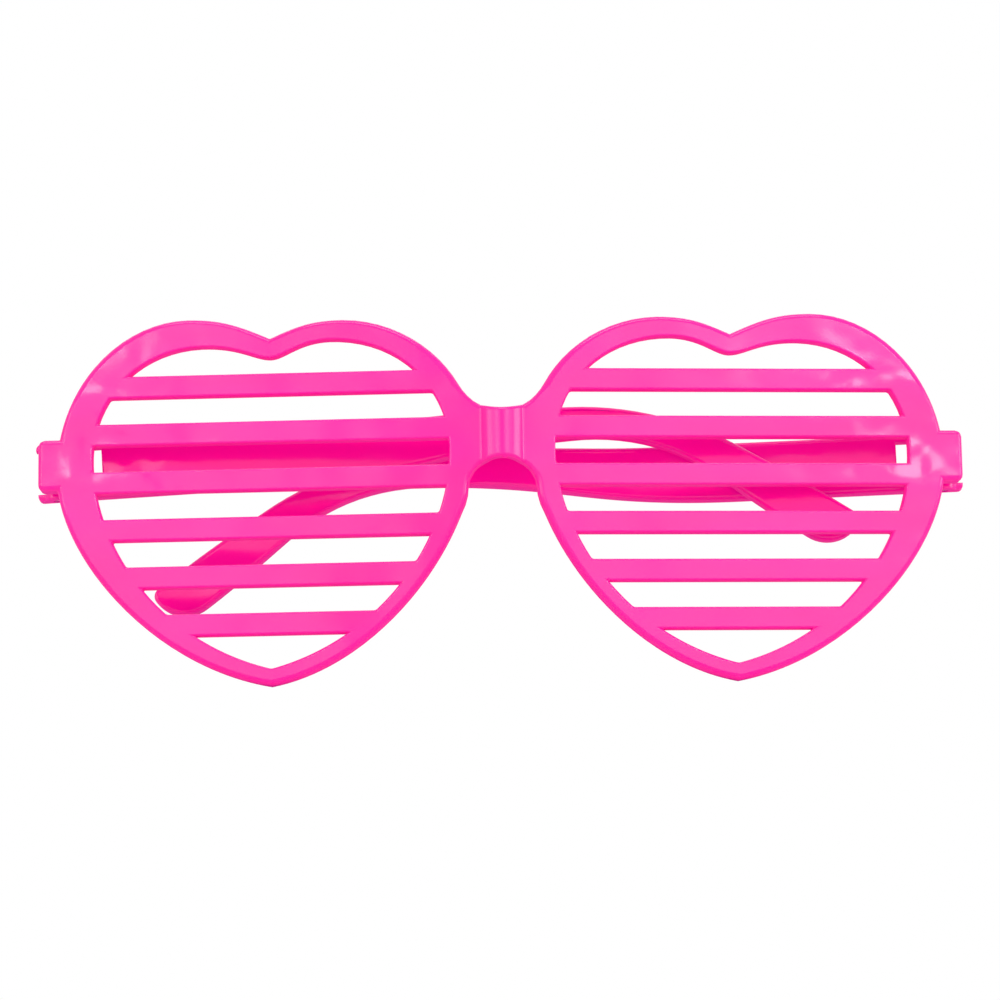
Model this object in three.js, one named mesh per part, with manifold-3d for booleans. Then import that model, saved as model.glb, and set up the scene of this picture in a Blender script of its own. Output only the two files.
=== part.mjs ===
// Heart-shaped shutter shades: a moulded front with slatted openings, two folding temples and two hinge pins.
// Sizes are in millimetres and angles in degrees.
// X runs to the wearer's left, Y back towards the wearer and Z up.
// The origin is the crest of the nose arch, in the plane of the bridge's two creases.
// The temples lie folded behind the front, the right one nearer to it.
import * as THREE from "three";
import { mergeVertices } from "three/addons/utils/BufferGeometryUtils.js";
import Module from "manifold-3d";

const wasm = await Module();
wasm.setup();

// Front
const FRONT_WIDTH = 155.5;
const FRONT_THICKNESS = 2.6;
const WRAP_ANGLE = 3.8;
const CREASE_TO_HEART = 35.3;
const ARCH_ABOVE_HEART = 8.1;

// Heart's outer edge, measured from the heart's middle
const DIP_UP = 29.55;
const TIP_DOWN = 29.3;
const TEMPLE_LOBE_OUT = 13.9;
const TEMPLE_LOBE_UP = 33.1;
const TEMPLE_REACH = 36;
const TEMPLE_REACH_UP = 7.3;
const NOSE_LOBE_OUT = 12;
const NOSE_LOBE_UP = 32.5;
const NOSE_REACH = 34.25;
const NOSE_REACH_UP = 10.7;

// Rim around the slatted opening
const DIP_RIM = 3.45;
const TIP_RIM = 2.9;
const TEMPLE_RIM = 6.1;
const TEMPLE_BROW_RIM = 4.85;
const NOSE_RIM = 4.3;
const NOSE_BROW_RIM = 3.5;

// Places of the opening's lobes and widest points
const OPENING_TEMPLE_LOBE_OUT = 11.1;
const OPENING_TEMPLE_REACH_UP = 9.5;
const OPENING_NOSE_LOBE_OUT = 10.3;
const OPENING_NOSE_REACH_UP = 9.75;

// Fullness of the heart's curves: handle lengths as shares of each span, and slopes at the dip and the tip
const EDGE_CURVE = {
  dipSlope: 24.3,
  dip: 0.41,
  crown: 0.58,
  over: 0.5,
  down: 0.59,
  flank: 0.38,
  tip: 0.565,
  tipSlope: 10.3,
};
const OPENING_CURVE = {
  dipSlope: 0,
  dip: 0.235,
  crown: 0.46,
  over: 0.575,
  down: 0.56,
  flank: 0.39,
  tip: 0.66,
  tipSlope: 14.3,
};
const CURVE_STEPS = 14;

// Slats
const SLAT_COUNT = 6;
const SLAT_HEIGHT = 3.7;
const SLAT_PITCH = 8.1;
const SLATS_MIDDLE_UP = 1.4;

// Bridge
const BRIDGE_WIDTH = 7.1;
const BRIDGE_HEIGHT = 8.5;
const BRIDGE_BULGE = 1.7;
const SADDLE_RADIUS = 9.2;
const NOSE_ARCH_RADIUS = 5.4;
const BRIDGE_LAP = 4.6;
const LAP_INSET = 0.05;

// End blocks and the hinge lugs behind them
const END_BLOCK_HEIGHT = 8.8;
const END_BLOCK_ABOVE_ARCH = 0.55;
const END_BLOCK_LAP = 4.4;
const END_BLOCK_CORNER = 1.2;
const PIN_BEHIND_FACE = 6.9;
const LUG_RADIUS = 2.1;
const LUG_HEIGHT = 6.8;

// Hinge fork on each temple, and its pin
const FORK_HEIGHT = 9.95;
const FORK_WINDOW_LENGTH = 7.75;
const KNUCKLE_RADIUS = 2.15;
const HEEL_LENGTH = 3.25;
const FORK_CORNER = 0.9;
const PIN_RADIUS = 0.75;
const PIN_RECESS = 0.2;
const FORK_CLEARANCE = 0.3;
const STOP_CLEARANCE = 0.25;
const LUG_BORE_PLAY = 0.25;
const ARM_BORE_PLAY = 0.03;

// Temples
const TEMPLE_THICKNESS = 3;
const RISE_START = 37.5;
const EAR_DISTANCE = 87.7;
const EAR_RISE = 2.7;
const EAR_RADIUS = 44;
const HOOK_ANGLE = 36.5;
const HOOK_LENGTH = 24;
const TAPER_START = 37.5;
const TAPER_END = 103.5;
const WAIST_HEIGHT = 5.2;
const PADDLE_DISTANCE = 136;
const PADDLE_HEIGHT = 7.75;
const INWARD_START = 80;
const INWARD_OFFSET = 2.5;
const TEMPLE_STEPS = 56;
const HEEL_STEPS = 4;
const TIP_STEPS = 10;
const TIP_ROUND = 6;
const TIP_CORNER = 1.6;

// How the folded temples lie: each hangs a little askew in its loose hinge
const RIGHT_TILT = 3.15;
const LEFT_TILT = 1.25;
const FOLD_GAP = 0.4;
const EAR_TO_CROSSING = 14.6;

// Colours
const PLASTIC_PINK = 0xfb3fa6;
const PIN_STEEL = 0xb9bcc0;

// Places that follow from the sizes
const radians = THREE.MathUtils.degToRad;
const wrap = radians(WRAP_ANGLE);
const creaseX = BRIDGE_WIDTH / 2;
const blockEnd = (FRONT_WIDTH / 2 - creaseX) / Math.cos(wrap);
const pinAlong = blockEnd - KNUCKLE_RADIUS;
const [pinX, pinY] = onFront(pinAlong, PIN_BEHIND_FACE);
const hingeZ = END_BLOCK_ABOVE_ARCH;
const heelSweep = Math.hypot(HEEL_LENGTH, TEMPLE_THICKNESS - KNUCKLE_RADIUS);
const blockDepth = PIN_BEHIND_FACE - heelSweep - STOP_CLEARANCE;
const windowHeight = LUG_HEIGHT + 2 * FORK_CLEARANCE;
const WELD = 1e-4;
const ROUND_SEGMENTS = 32;
const CUT_MARGIN = 1;

// A solid for joining and cutting, made from a closed geometry.
function solid(geometry) {
  const bare = geometry.clone();
  bare.deleteAttribute("normal");
  bare.deleteAttribute("uv");
  const welded = mergeVertices(bare, WELD);
  const vertProperties = new Float32Array(welded.attributes.position.array);
  const triVerts = new Uint32Array(welded.index.array);
  return new wasm.Manifold(new wasm.Mesh({ numProp: 3, vertProperties, triVerts }));
}

// The geometry of a finished solid.
function geometryOf(body) {
  const { vertProperties, triVerts } = body.getMesh();
  const geometry = new THREE.BufferGeometry();
  geometry.setAttribute("position", new THREE.BufferAttribute(new Float32Array(vertProperties), 3));
  geometry.setIndex(new THREE.BufferAttribute(new Uint32Array(triVerts), 1));
  return geometry;
}

// The same geometry on the other side of the nose, still facing out.
function mirrored(geometry) {
  const twin = geometry.clone().scale(-1, 1, 1);
  const corners = twin.index.array;
  for (let i = 0; i < corners.length; i += 3) {
    [corners[i + 1], corners[i + 2]] = [corners[i + 2], corners[i + 1]];
  }
  return twin;
}

// An outline drawn in X and Z, given depth in Y.
function upright(outline, front, back) {
  const options = { depth: back - front, bevelEnabled: false, curveSegments: CURVE_STEPS };
  return solid(new THREE.ExtrudeGeometry(outline, options).rotateX(Math.PI / 2).translate(0, back, 0));
}

// An outline drawn in X and Y, given height in Z.
function level(outline, low, high) {
  const options = { depth: high - low, bevelEnabled: false, curveSegments: CURVE_STEPS };
  return solid(new THREE.ExtrudeGeometry(outline, options).translate(0, 0, low));
}

// A box between two corners.
function box(low, high) {
  const size = high.map((value, axis) => value - low[axis]);
  const middle = high.map((value, axis) => (value + low[axis]) / 2);
  return solid(new THREE.BoxGeometry(...size).translate(...middle));
}

// A round bar on the Z axis, moved to x, y.
function uprightBar(radius, low, high, x, y) {
  const bar = new THREE.CylinderGeometry(radius, radius, high - low, ROUND_SEGMENTS);
  return solid(bar.rotateX(Math.PI / 2).translate(x, y, (low + high) / 2));
}

// A round bar along Y, to cut a hollow through the bridge.
function throughBar(radius, z) {
  const length = 2 * (FRONT_THICKNESS + BRIDGE_BULGE + CUT_MARGIN);
  return solid(new THREE.CylinderGeometry(radius, radius, length, 2 * ROUND_SEGMENTS).translate(0, 0, z));
}

// Half a heart's outline, drawn from its dip over the lobe and round the side to its tip.
function drawHalfHeart(outline, half, curve, backwards) {
  const { sign, dip, tip, lobeOut, lobeUp, reach, reachUp } = half;
  const dipSlope = radians(curve.dipSlope);
  const tipSlope = radians(curve.tipSlope);
  const points = [
    [0, dip],
    [curve.dip * lobeOut * Math.cos(dipSlope), dip + curve.dip * lobeOut * Math.sin(dipSlope)],
    [lobeOut * curve.crown, lobeUp],
    [lobeOut, lobeUp],
    [lobeOut + curve.over * (reach - lobeOut), lobeUp],
    [reach, reachUp + curve.down * (lobeUp - reachUp)],
    [reach, reachUp],
    [reach, reachUp - curve.flank * (reachUp - tip)],
    [curve.tip * reach * Math.cos(tipSlope), tip + curve.tip * reach * Math.sin(tipSlope)],
    [0, tip],
  ].map(([out, up]) => [sign * out, up]);
  if (backwards) points.reverse();
  for (let i = 1; i < points.length; i += 3) {
    outline.bezierCurveTo(...points[i], ...points[i + 1], ...points[i + 2]);
  }
}

// A heart's closed outline, with its own curve on the temple side and on the nose side.
function heartOutline(temple, nose, curve) {
  const outline = new THREE.Shape();
  outline.moveTo(0, temple.dip);
  drawHalfHeart(outline, { ...nose, sign: -1 }, curve, false);
  drawHalfHeart(outline, { ...temple, sign: 1 }, curve, true);
  return outline;
}

const edgeTemple = {
  dip: DIP_UP,
  tip: -TIP_DOWN,
  lobeOut: TEMPLE_LOBE_OUT,
  lobeUp: TEMPLE_LOBE_UP,
  reach: TEMPLE_REACH,
  reachUp: TEMPLE_REACH_UP,
};
const edgeNose = {
  dip: DIP_UP,
  tip: -TIP_DOWN,
  lobeOut: NOSE_LOBE_OUT,
  lobeUp: NOSE_LOBE_UP,
  reach: NOSE_REACH,
  reachUp: NOSE_REACH_UP,
};
const openingTemple = {
  dip: DIP_UP - DIP_RIM,
  tip: TIP_RIM - TIP_DOWN,
  lobeOut: OPENING_TEMPLE_LOBE_OUT,
  lobeUp: TEMPLE_LOBE_UP - TEMPLE_BROW_RIM,
  reach: TEMPLE_REACH - TEMPLE_RIM,
  reachUp: OPENING_TEMPLE_REACH_UP,
};
const openingNose = {
  dip: DIP_UP - DIP_RIM,
  tip: TIP_RIM - TIP_DOWN,
  lobeOut: OPENING_NOSE_LOBE_OUT,
  lobeUp: NOSE_LOBE_UP - NOSE_BROW_RIM,
  reach: NOSE_REACH - NOSE_RIM,
  reachUp: OPENING_NOSE_REACH_UP,
};

// A flat heart plate whose opening keeps the slats, with its middle at the origin.
function heartPlate() {
  const plate = upright(heartOutline(edgeTemple, edgeNose, EDGE_CURVE), 0, FRONT_THICKNESS);
  const opening = heartOutline(openingTemple, openingNose, OPENING_CURVE);
  let slots = upright(opening, -CUT_MARGIN, FRONT_THICKNESS + CUT_MARGIN);
  for (let i = 0; i < SLAT_COUNT; i += 1) {
    const middle = SLATS_MIDDLE_UP + ((SLAT_COUNT - 1) / 2 - i) * SLAT_PITCH;
    const low = [-NOSE_REACH - CUT_MARGIN, -2 * CUT_MARGIN, middle - SLAT_HEIGHT / 2];
    const high = [TEMPLE_REACH + CUT_MARGIN, FRONT_THICKNESS + 2 * CUT_MARGIN, middle + SLAT_HEIGHT / 2];
    slots = slots.subtract(box(low, high));
  }
  return geometryOf(plate.subtract(slots));
}

// The block at the outer end of the front, with rounded outer corners.
function endBlock() {
  const inner = CREASE_TO_HEART + TEMPLE_REACH - END_BLOCK_LAP;
  const outer = blockEnd;
  const low = hingeZ - END_BLOCK_HEIGHT / 2;
  const high = hingeZ + END_BLOCK_HEIGHT / 2;
  const outline = new THREE.Shape();
  outline.moveTo(inner, low);
  outline.lineTo(outer - END_BLOCK_CORNER, low);
  outline.absarc(outer - END_BLOCK_CORNER, low + END_BLOCK_CORNER, END_BLOCK_CORNER, -Math.PI / 2, 0);
  outline.absarc(outer - END_BLOCK_CORNER, high - END_BLOCK_CORNER, END_BLOCK_CORNER, 0, Math.PI / 2);
  outline.lineTo(inner, high);
  return upright(outline, 0, blockDepth);
}

// The lug that stands behind the end block, bored loosely for the hinge pin.
function hingeLug() {
  const outline = new THREE.Shape();
  outline.moveTo(pinAlong - LUG_RADIUS, blockDepth / 2);
  outline.lineTo(pinAlong + LUG_RADIUS, blockDepth / 2);
  outline.absarc(pinAlong, PIN_BEHIND_FACE, LUG_RADIUS, 0, Math.PI);
  const low = hingeZ - LUG_HEIGHT / 2;
  const high = hingeZ + LUG_HEIGHT / 2;
  const boreRadius = PIN_RADIUS + LUG_BORE_PLAY;
  const bore = uprightBar(boreRadius, low - CUT_MARGIN, high + CUT_MARGIN, pinAlong, PIN_BEHIND_FACE);
  return level(outline, low, high).subtract(bore);
}

// The wearer's left half of the front, leaning back from the bridge's crease.
function leftHalf() {
  const heart = solid(heartPlate().translate(CREASE_TO_HEART, 0, -ARCH_ABOVE_HEART));
  const half = heart.add(endBlock()).add(hingeLug());
  return geometryOf(half).rotateZ(wrap).translate(creaseX, 0, 0);
}

// A point of the front half, from its distance along the front and its depth behind the face.
function onFront(along, behind) {
  const x = creaseX + along * Math.cos(wrap) - behind * Math.sin(wrap);
  const y = along * Math.sin(wrap) + behind * Math.cos(wrap);
  return [x, y];
}

// The bridge, bulging forward between its creases and lapped into both rims.
function bridge() {
  const bulgeRadius = (creaseX ** 2 + BRIDGE_BULGE ** 2) / (2 * BRIDGE_BULGE);
  const bulgeY = bulgeRadius - BRIDGE_BULGE;
  const bulgeHalfAngle = Math.asin(creaseX / bulgeRadius);
  const hollowRadius = bulgeRadius - FRONT_THICKNESS;
  const frontLap = onFront(BRIDGE_LAP, LAP_INSET);
  const backLap = onFront(BRIDGE_LAP, FRONT_THICKNESS - LAP_INSET);
  const backCrease = onFront(0, FRONT_THICKNESS - LAP_INSET);
  const outline = new THREE.Shape();
  outline.moveTo(-frontLap[0], frontLap[1]);
  outline.absarc(0, bulgeY, bulgeRadius, -Math.PI / 2 - bulgeHalfAngle, -Math.PI / 2 + bulgeHalfAngle);
  outline.lineTo(...frontLap);
  outline.lineTo(...backLap);
  outline.lineTo(...backCrease);
  outline.absarc(0, backCrease[1], hollowRadius, 0, -Math.PI, true);
  outline.lineTo(-backCrease[0], backCrease[1]);
  outline.lineTo(-backLap[0], backLap[1]);
  const low = -NOSE_ARCH_RADIUS;
  const high = BRIDGE_HEIGHT + SADDLE_RADIUS / 2;
  const saddle = throughBar(SADDLE_RADIUS, BRIDGE_HEIGHT + SADDLE_RADIUS);
  const noseArch = throughBar(NOSE_ARCH_RADIUS, -NOSE_ARCH_RADIUS);
  return level(outline, low, high).subtract(saddle).subtract(noseArch);
}

// The whole front as one moulding.
function frontFrame() {
  const left = leftHalf();
  return geometryOf(solid(left).add(solid(mirrored(left))).add(bridge()));
}

// The temple's middle line, from the heel behind the pin, over the ear and down the hook.
function templeLine() {
  const bend = radians(HOOK_ANGLE);
  const bendCentreRise = EAR_RISE - EAR_RADIUS;
  const hookStart = new THREE.Vector2(
    EAR_DISTANCE + EAR_RADIUS * Math.sin(bend),
    bendCentreRise + EAR_RADIUS * Math.cos(bend),
  );
  const hookEnd = new THREE.Vector2(Math.cos(bend), -Math.sin(bend)).multiplyScalar(HOOK_LENGTH).add(hookStart);
  const riseStart = new THREE.Vector2(RISE_START, 0);
  const riseEnd = new THREE.Vector2(EAR_DISTANCE, EAR_RISE);
  const riseMiddle = (RISE_START + EAR_DISTANCE) / 2;
  const line = new THREE.CurvePath();
  line.add(new THREE.LineCurve(new THREE.Vector2(-HEEL_LENGTH, 0), riseStart));
  line.add(
    new THREE.CubicBezierCurve(
      riseStart,
      new THREE.Vector2(riseMiddle, 0),
      new THREE.Vector2(riseMiddle, EAR_RISE),
      riseEnd,
    ),
  );
  line.add(
    new THREE.EllipseCurve(
      EAR_DISTANCE,
      bendCentreRise,
      EAR_RADIUS,
      EAR_RADIUS,
      Math.PI / 2,
      Math.PI / 2 - bend,
      true,
    ),
  );
  line.add(new THREE.LineCurve(hookStart, hookEnd));
  return line;
}

// Half the temple's height at a distance along its middle line, before its corners are rounded.
function halfHeightAt(distance) {
  const taper = THREE.MathUtils.smoothstep(distance, TAPER_START, TAPER_END);
  const spread = THREE.MathUtils.smoothstep(distance, TAPER_END, PADDLE_DISTANCE);
  const height = FORK_HEIGHT + taper * (WAIST_HEIGHT - FORK_HEIGHT) + spread * (PADDLE_HEIGHT - WAIST_HEIGHT);
  return height / 2;
}

// How much of a rounded corner is cut away at a distance before the end that it rounds.
function cornerTrim(radius, beforeEnd) {
  const into = Math.max(0, radius - beforeEnd);
  return radius - Math.sqrt(radius ** 2 - into ** 2);
}

// Sections along the middle line: a rounded heel, the arm, and a tip whose lower corner is the rounder one.
function templeSections(length) {
  const tipStart = length - TIP_ROUND;
  const distances = [];
  for (let i = 0; i < HEEL_STEPS; i += 1) {
    distances.push(FORK_CORNER * (1 - Math.cos(((Math.PI / 2) * i) / HEEL_STEPS)));
  }
  for (let i = 0; i < TEMPLE_STEPS; i += 1) {
    distances.push(FORK_CORNER + ((tipStart - FORK_CORNER) * i) / TEMPLE_STEPS);
  }
  for (let i = 0; i <= TIP_STEPS; i += 1) {
    distances.push(tipStart + TIP_ROUND * Math.sin(((Math.PI / 2) * i) / TIP_STEPS));
  }
  return distances.map((distance) => {
    const half = halfHeightAt(distance) - cornerTrim(FORK_CORNER, distance);
    const top = half - cornerTrim(TIP_CORNER, length - distance);
    const bottom = cornerTrim(TIP_ROUND, length - distance) - half;
    return { distance, top, bottom };
  });
}

// The temple's arm: a many-sectioned bar moved onto the middle line, with its hook bent in towards the head.
function templeArm() {
  const line = templeLine();
  const length = line.getLength();
  const sections = templeSections(length);
  const last = sections.length - 1;
  const arm = new THREE.BoxGeometry(last, 1, 1, last, 1, 1).translate(last / 2, 0, 0);
  const places = arm.attributes.position;
  for (let i = 0; i < places.count; i += 1) {
    const { distance, top, bottom } = sections[Math.round(places.getX(i))];
    const middle = line.getPointAt(distance / length);
    const along = line.getTangentAt(distance / length);
    const up = places.getZ(i) > 0 ? top : bottom;
    const bent = Math.max(0, distance - INWARD_START) / (length - INWARD_START);
    const outward = KNUCKLE_RADIUS - TEMPLE_THICKNESS / 2 + places.getY(i) * TEMPLE_THICKNESS;
    places.setXYZ(i, middle.x - along.y * up, outward - INWARD_OFFSET * bent ** 2, middle.y + along.x * up);
  }
  return solid(arm);
}

// A temple with its pin on the Z axis: the arm, the knuckle on its inner side, the fork's window and the pin hole.
function temple() {
  const half = FORK_HEIGHT / 2;
  const knuckle = uprightBar(KNUCKLE_RADIUS, -half, half, 0, 0);
  const windowLow = [-HEEL_LENGTH - CUT_MARGIN, -KNUCKLE_RADIUS - CUT_MARGIN, -windowHeight / 2];
  const windowHigh = [FORK_WINDOW_LENGTH, KNUCKLE_RADIUS + CUT_MARGIN, windowHeight / 2];
  const hole = uprightBar(PIN_RADIUS + ARM_BORE_PLAY, -half - CUT_MARGIN, half + CUT_MARGIN, 0, 0);
  const body = templeArm().add(knuckle);
  return geometryOf(body.subtract(box(windowLow, windowHigh)).subtract(hole));
}

// A hinge pin on the Z axis, a little shorter than the fork is tall.
function hingePin() {
  const half = FORK_HEIGHT / 2 - PIN_RECESS;
  return geometryOf(uprightBar(PIN_RADIUS, -half, half, 0, 0));
}

function plastic() {
  return new THREE.MeshStandardMaterial({ color: PLASTIC_PINK, roughness: 0.22, metalness: 0 });
}

function steel() {
  return new THREE.MeshStandardMaterial({ color: PIN_STEEL, roughness: 0.3, metalness: 1 });
}

function piece(name, geometry, material) {
  const mesh = new THREE.Mesh(geometry, material);
  mesh.name = name;
  mesh.geometry.computeVertexNormals();
  return mesh;
}

// One temple and its pin, hung askew on the hinge and folded behind the front.
function hungTemple(side, sign, shape, tilt, fold) {
  const hinge = new THREE.Group();
  hinge.name = `${side}_hinge`;
  hinge.position.set(sign * pinX, pinY, hingeZ);
  hinge.rotation.y = -radians(tilt);
  const swing = new THREE.Group();
  swing.name = `${side}_swing`;
  swing.rotation.z = -sign * fold;
  swing.add(piece(`${side}_temple`, shape, plastic()));
  swing.add(piece(`${side}_hinge_pin`, hingePin(), steel()));
  hinge.add(swing);
  return hinge;
}

const rightShape = temple();
const crossingReach = 2 * pinX - EAR_DISTANCE - EAR_TO_CROSSING;
const leftFold = Math.atan2(TEMPLE_THICKNESS + FOLD_GAP, crossingReach);
const shades = new THREE.Group();
shades.name = "heart_shutter_shades";
shades.add(piece("front_frame", frontFrame(), plastic()));
shades.add(hungTemple("right", -1, rightShape, RIGHT_TILT, 0));
shades.add(hungTemple("left", 1, mirrored(rightShape), LEFT_TILT, leftFold));

export default shades;
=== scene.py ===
# %% [markdown]
# # Heart-shaped shutter shades
# These party glasses are one glossy pink moulding in front, with slats instead of lenses, and two moulded
# temples that turn on wire pins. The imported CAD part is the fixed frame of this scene: it says where
# everything is and how it moves. Here each piece is modelled again, with the fillets, the finish and the
# light that the real one shows. The CAD itself stays where it is, because the poses and the collisions
# are taken from it.

import math

import bmesh
import bpy
from mathutils import Matrix, Vector


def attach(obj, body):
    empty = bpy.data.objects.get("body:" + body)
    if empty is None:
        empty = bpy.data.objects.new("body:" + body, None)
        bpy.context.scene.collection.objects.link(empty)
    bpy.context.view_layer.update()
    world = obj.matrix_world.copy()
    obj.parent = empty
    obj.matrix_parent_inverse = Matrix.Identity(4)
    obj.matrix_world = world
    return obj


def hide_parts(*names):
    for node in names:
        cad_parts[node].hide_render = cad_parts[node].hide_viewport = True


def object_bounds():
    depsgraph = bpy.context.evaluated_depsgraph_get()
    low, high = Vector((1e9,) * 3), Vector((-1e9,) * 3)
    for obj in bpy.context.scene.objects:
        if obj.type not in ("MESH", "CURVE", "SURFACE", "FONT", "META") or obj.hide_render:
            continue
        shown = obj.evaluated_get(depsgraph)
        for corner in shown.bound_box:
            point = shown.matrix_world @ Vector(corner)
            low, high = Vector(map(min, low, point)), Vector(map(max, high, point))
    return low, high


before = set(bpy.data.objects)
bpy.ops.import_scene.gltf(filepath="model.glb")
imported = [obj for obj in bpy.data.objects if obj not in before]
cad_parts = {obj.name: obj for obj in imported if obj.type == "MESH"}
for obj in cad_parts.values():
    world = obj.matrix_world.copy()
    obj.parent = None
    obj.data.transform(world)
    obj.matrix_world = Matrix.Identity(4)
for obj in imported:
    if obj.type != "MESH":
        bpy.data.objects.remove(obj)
cad_low, cad_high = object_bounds()
print("CAD box from", tuple(cad_low), "to", tuple(cad_high))

# %% [markdown]
# ## Setting out the front
# The face of the glasses is two flat hearts. Like the pages of an open book they lean back a few degrees,
# each from a crease beside the nose. A heart can therefore be drawn flat, as distances outwards and
# heights, and be turned back as a whole when it is done, which is easier than drawing on a leaning face.
# Where a single place is needed, a small function turns it. Lengths are in metres and are the CAD's own.

# %% Set-out
CREASE_X = 0.00355
CREASE_TO_HEART = 0.0353
HEART_DROP = 0.0081
WRAP = math.radians(3.8)


def on_front(along, behind):
    x = CREASE_X + along * math.cos(WRAP) - behind * math.sin(WRAP)
    return x, along * math.sin(WRAP) + behind * math.cos(WRAP)


print("a heart's middle, sideways and back:", [round(part, 5) for part in on_front(CREASE_TO_HEART, 0)])

# %% [markdown]
# ## The heart's curves
# The mould maker's heart is a smooth line from the dip over the lobe and round the side to the tip. A
# curve object could draw it, but the mesh needs its points at chosen heights, so three cubic pieces are
# worked out here, for one half of a heart. Where the pieces meet, the control points on both sides lie on
# one line, which keeps the bend smooth. The sizes of the half and the way its line bends are kept apart,
# because other halves share the bend.


# %% Half a heart
def half_heart(half, curve):
    lobe_out, lobe_up = half["lobe"]
    reach, reach_up = half["reach"]
    dip, tip = half["dip"], half["tip"]
    dip_pull = curve["dip"] * lobe_out
    tip_pull = curve["tip"] * reach
    return [
        Vector((0, dip)),
        Vector((dip_pull * math.cos(curve["dip_slope"]), dip + dip_pull * math.sin(curve["dip_slope"]))),
        Vector((lobe_out * curve["crown"], lobe_up)),
        Vector((lobe_out, lobe_up)),
        Vector((lobe_out + curve["over"] * (reach - lobe_out), lobe_up)),
        Vector((reach, reach_up + curve["down"] * (lobe_up - reach_up))),
        Vector((reach, reach_up)),
        Vector((reach, reach_up - curve["flank"] * (reach_up - tip))),
        Vector((tip_pull * math.cos(curve["tip_slope"]), tip + tip_pull * math.sin(curve["tip_slope"]))),
        Vector((0, tip)),
    ]


EDGE_TEMPLE = {"dip": 0.02955, "tip": -0.0293, "lobe": (0.0139, 0.0331), "reach": (0.036, 0.0073)}
EDGE_CURVE = {
    "dip": 0.41,
    "crown": 0.58,
    "over": 0.5,
    "down": 0.59,
    "flank": 0.38,
    "tip": 0.565,
    "dip_slope": math.radians(24.3),
    "tip_slope": math.radians(10.3),
}
edge_temple = half_heart(EDGE_TEMPLE, EDGE_CURVE)
print("half a heart from", tuple(edge_temple[0]), "to", tuple(edge_temple[-1]))

# %% [markdown]
# The rim lies between two such lines, its outer edge and its opening. On the real front the temple side
# and the nose side of a heart differ a little, so each has its own sizes, and both sides share the way
# the line bends.

# %% The other three halves
EDGE_NOSE = {"dip": 0.02955, "tip": -0.0293, "lobe": (0.012, 0.0325), "reach": (0.03425, 0.0107)}
OPENING_TEMPLE = {"dip": 0.0261, "tip": -0.0264, "lobe": (0.0111, 0.02825), "reach": (0.0299, 0.0095)}
OPENING_NOSE = {"dip": 0.0261, "tip": -0.0264, "lobe": (0.0103, 0.029), "reach": (0.02995, 0.00975)}
OPENING_CURVE = {
    "dip": 0.235,
    "crown": 0.46,
    "over": 0.575,
    "down": 0.56,
    "flank": 0.39,
    "tip": 0.66,
    "dip_slope": 0.0,
    "tip_slope": math.radians(14.3),
}
edge_nose = half_heart(EDGE_NOSE, EDGE_CURVE)
opening_temple = half_heart(OPENING_TEMPLE, OPENING_CURVE)
opening_nose = half_heart(OPENING_NOSE, OPENING_CURVE)
print("rim is", round(EDGE_TEMPLE["reach"][0] - OPENING_TEMPLE["reach"][0], 5), "m wide at the temple")

# %% [markdown]
# ## Places on a line
# Later steps ask such a line two things. A station is a number from 0 at the dip, through 1 at the lobe's
# crest and 2 at the widest point, to 3 at the tip, and the formula of a cubic curve says where it lies.
# The other way round there is no handy formula: to find the station at a given height, the stretch from
# the crest to the tip is halved again and again, always keeping the half that holds the height.


# %% Places on a line
def place_on(line, station):
    piece = min(int(station), (len(line) - 1) // 3 - 1)
    t = station - piece
    a, b, c, d = line[3 * piece : 3 * piece + 4]
    return a * (1 - t) ** 3 + b * 3 * t * (1 - t) ** 2 + c * 3 * t**2 * (1 - t) + d * t**3


CREST, HEART_TIP = 1, 3
HALVINGS = 50


def station_at(line, height):
    above, below = CREST, HEART_TIP
    for _ in range(HALVINGS):
        middle = (above + below) / 2
        if place_on(line, middle).y < height:
            below = middle
        else:
            above = middle
    return below


print("the dip's height is met again at station", round(station_at(edge_temple, EDGE_TEMPLE["dip"]), 4))

# %% [markdown]
# ## Slat heights
# Six level slats cross each opening in place of a lens. They are alike and evenly spaced, so a count, a
# height and a pitch give all their edges, from the top one down. An Array modifier could repeat one slat,
# but every slat has its own length, because it ends on the curve of the opening.

# %% Slat heights
SLAT_COUNT = 6
SLAT_HEIGHT = 0.0037
SLAT_PITCH = 0.0081
SLATS_MIDDLE = 0.0014
slat_edges = []
for number in range(SLAT_COUNT):
    middle = SLATS_MIDDLE + ((SLAT_COUNT - 1) / 2 - number) * SLAT_PITCH
    slat_edges.append(middle + SLAT_HEIGHT / 2)
    slat_edges.append(middle - SLAT_HEIGHT / 2)
top_edge, tip_edge = slat_edges[0], slat_edges[-1]
print(SLAT_COUNT, "slats from", round(top_edge, 5), "down to", round(tip_edge, 5))

# %% [markdown]
# ## Places round a heart
# The rim will be made by joining a ring of points on the opening to a ring on the edge, so both get the
# same number of points. On the opening they stand exactly where a slat begins and ends. On the edge they
# are shifted up or down, so that one of them stands at each corner of the end block and where the bridge
# begins: then these can be pulled out of the rim later without cutting it.

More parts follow.
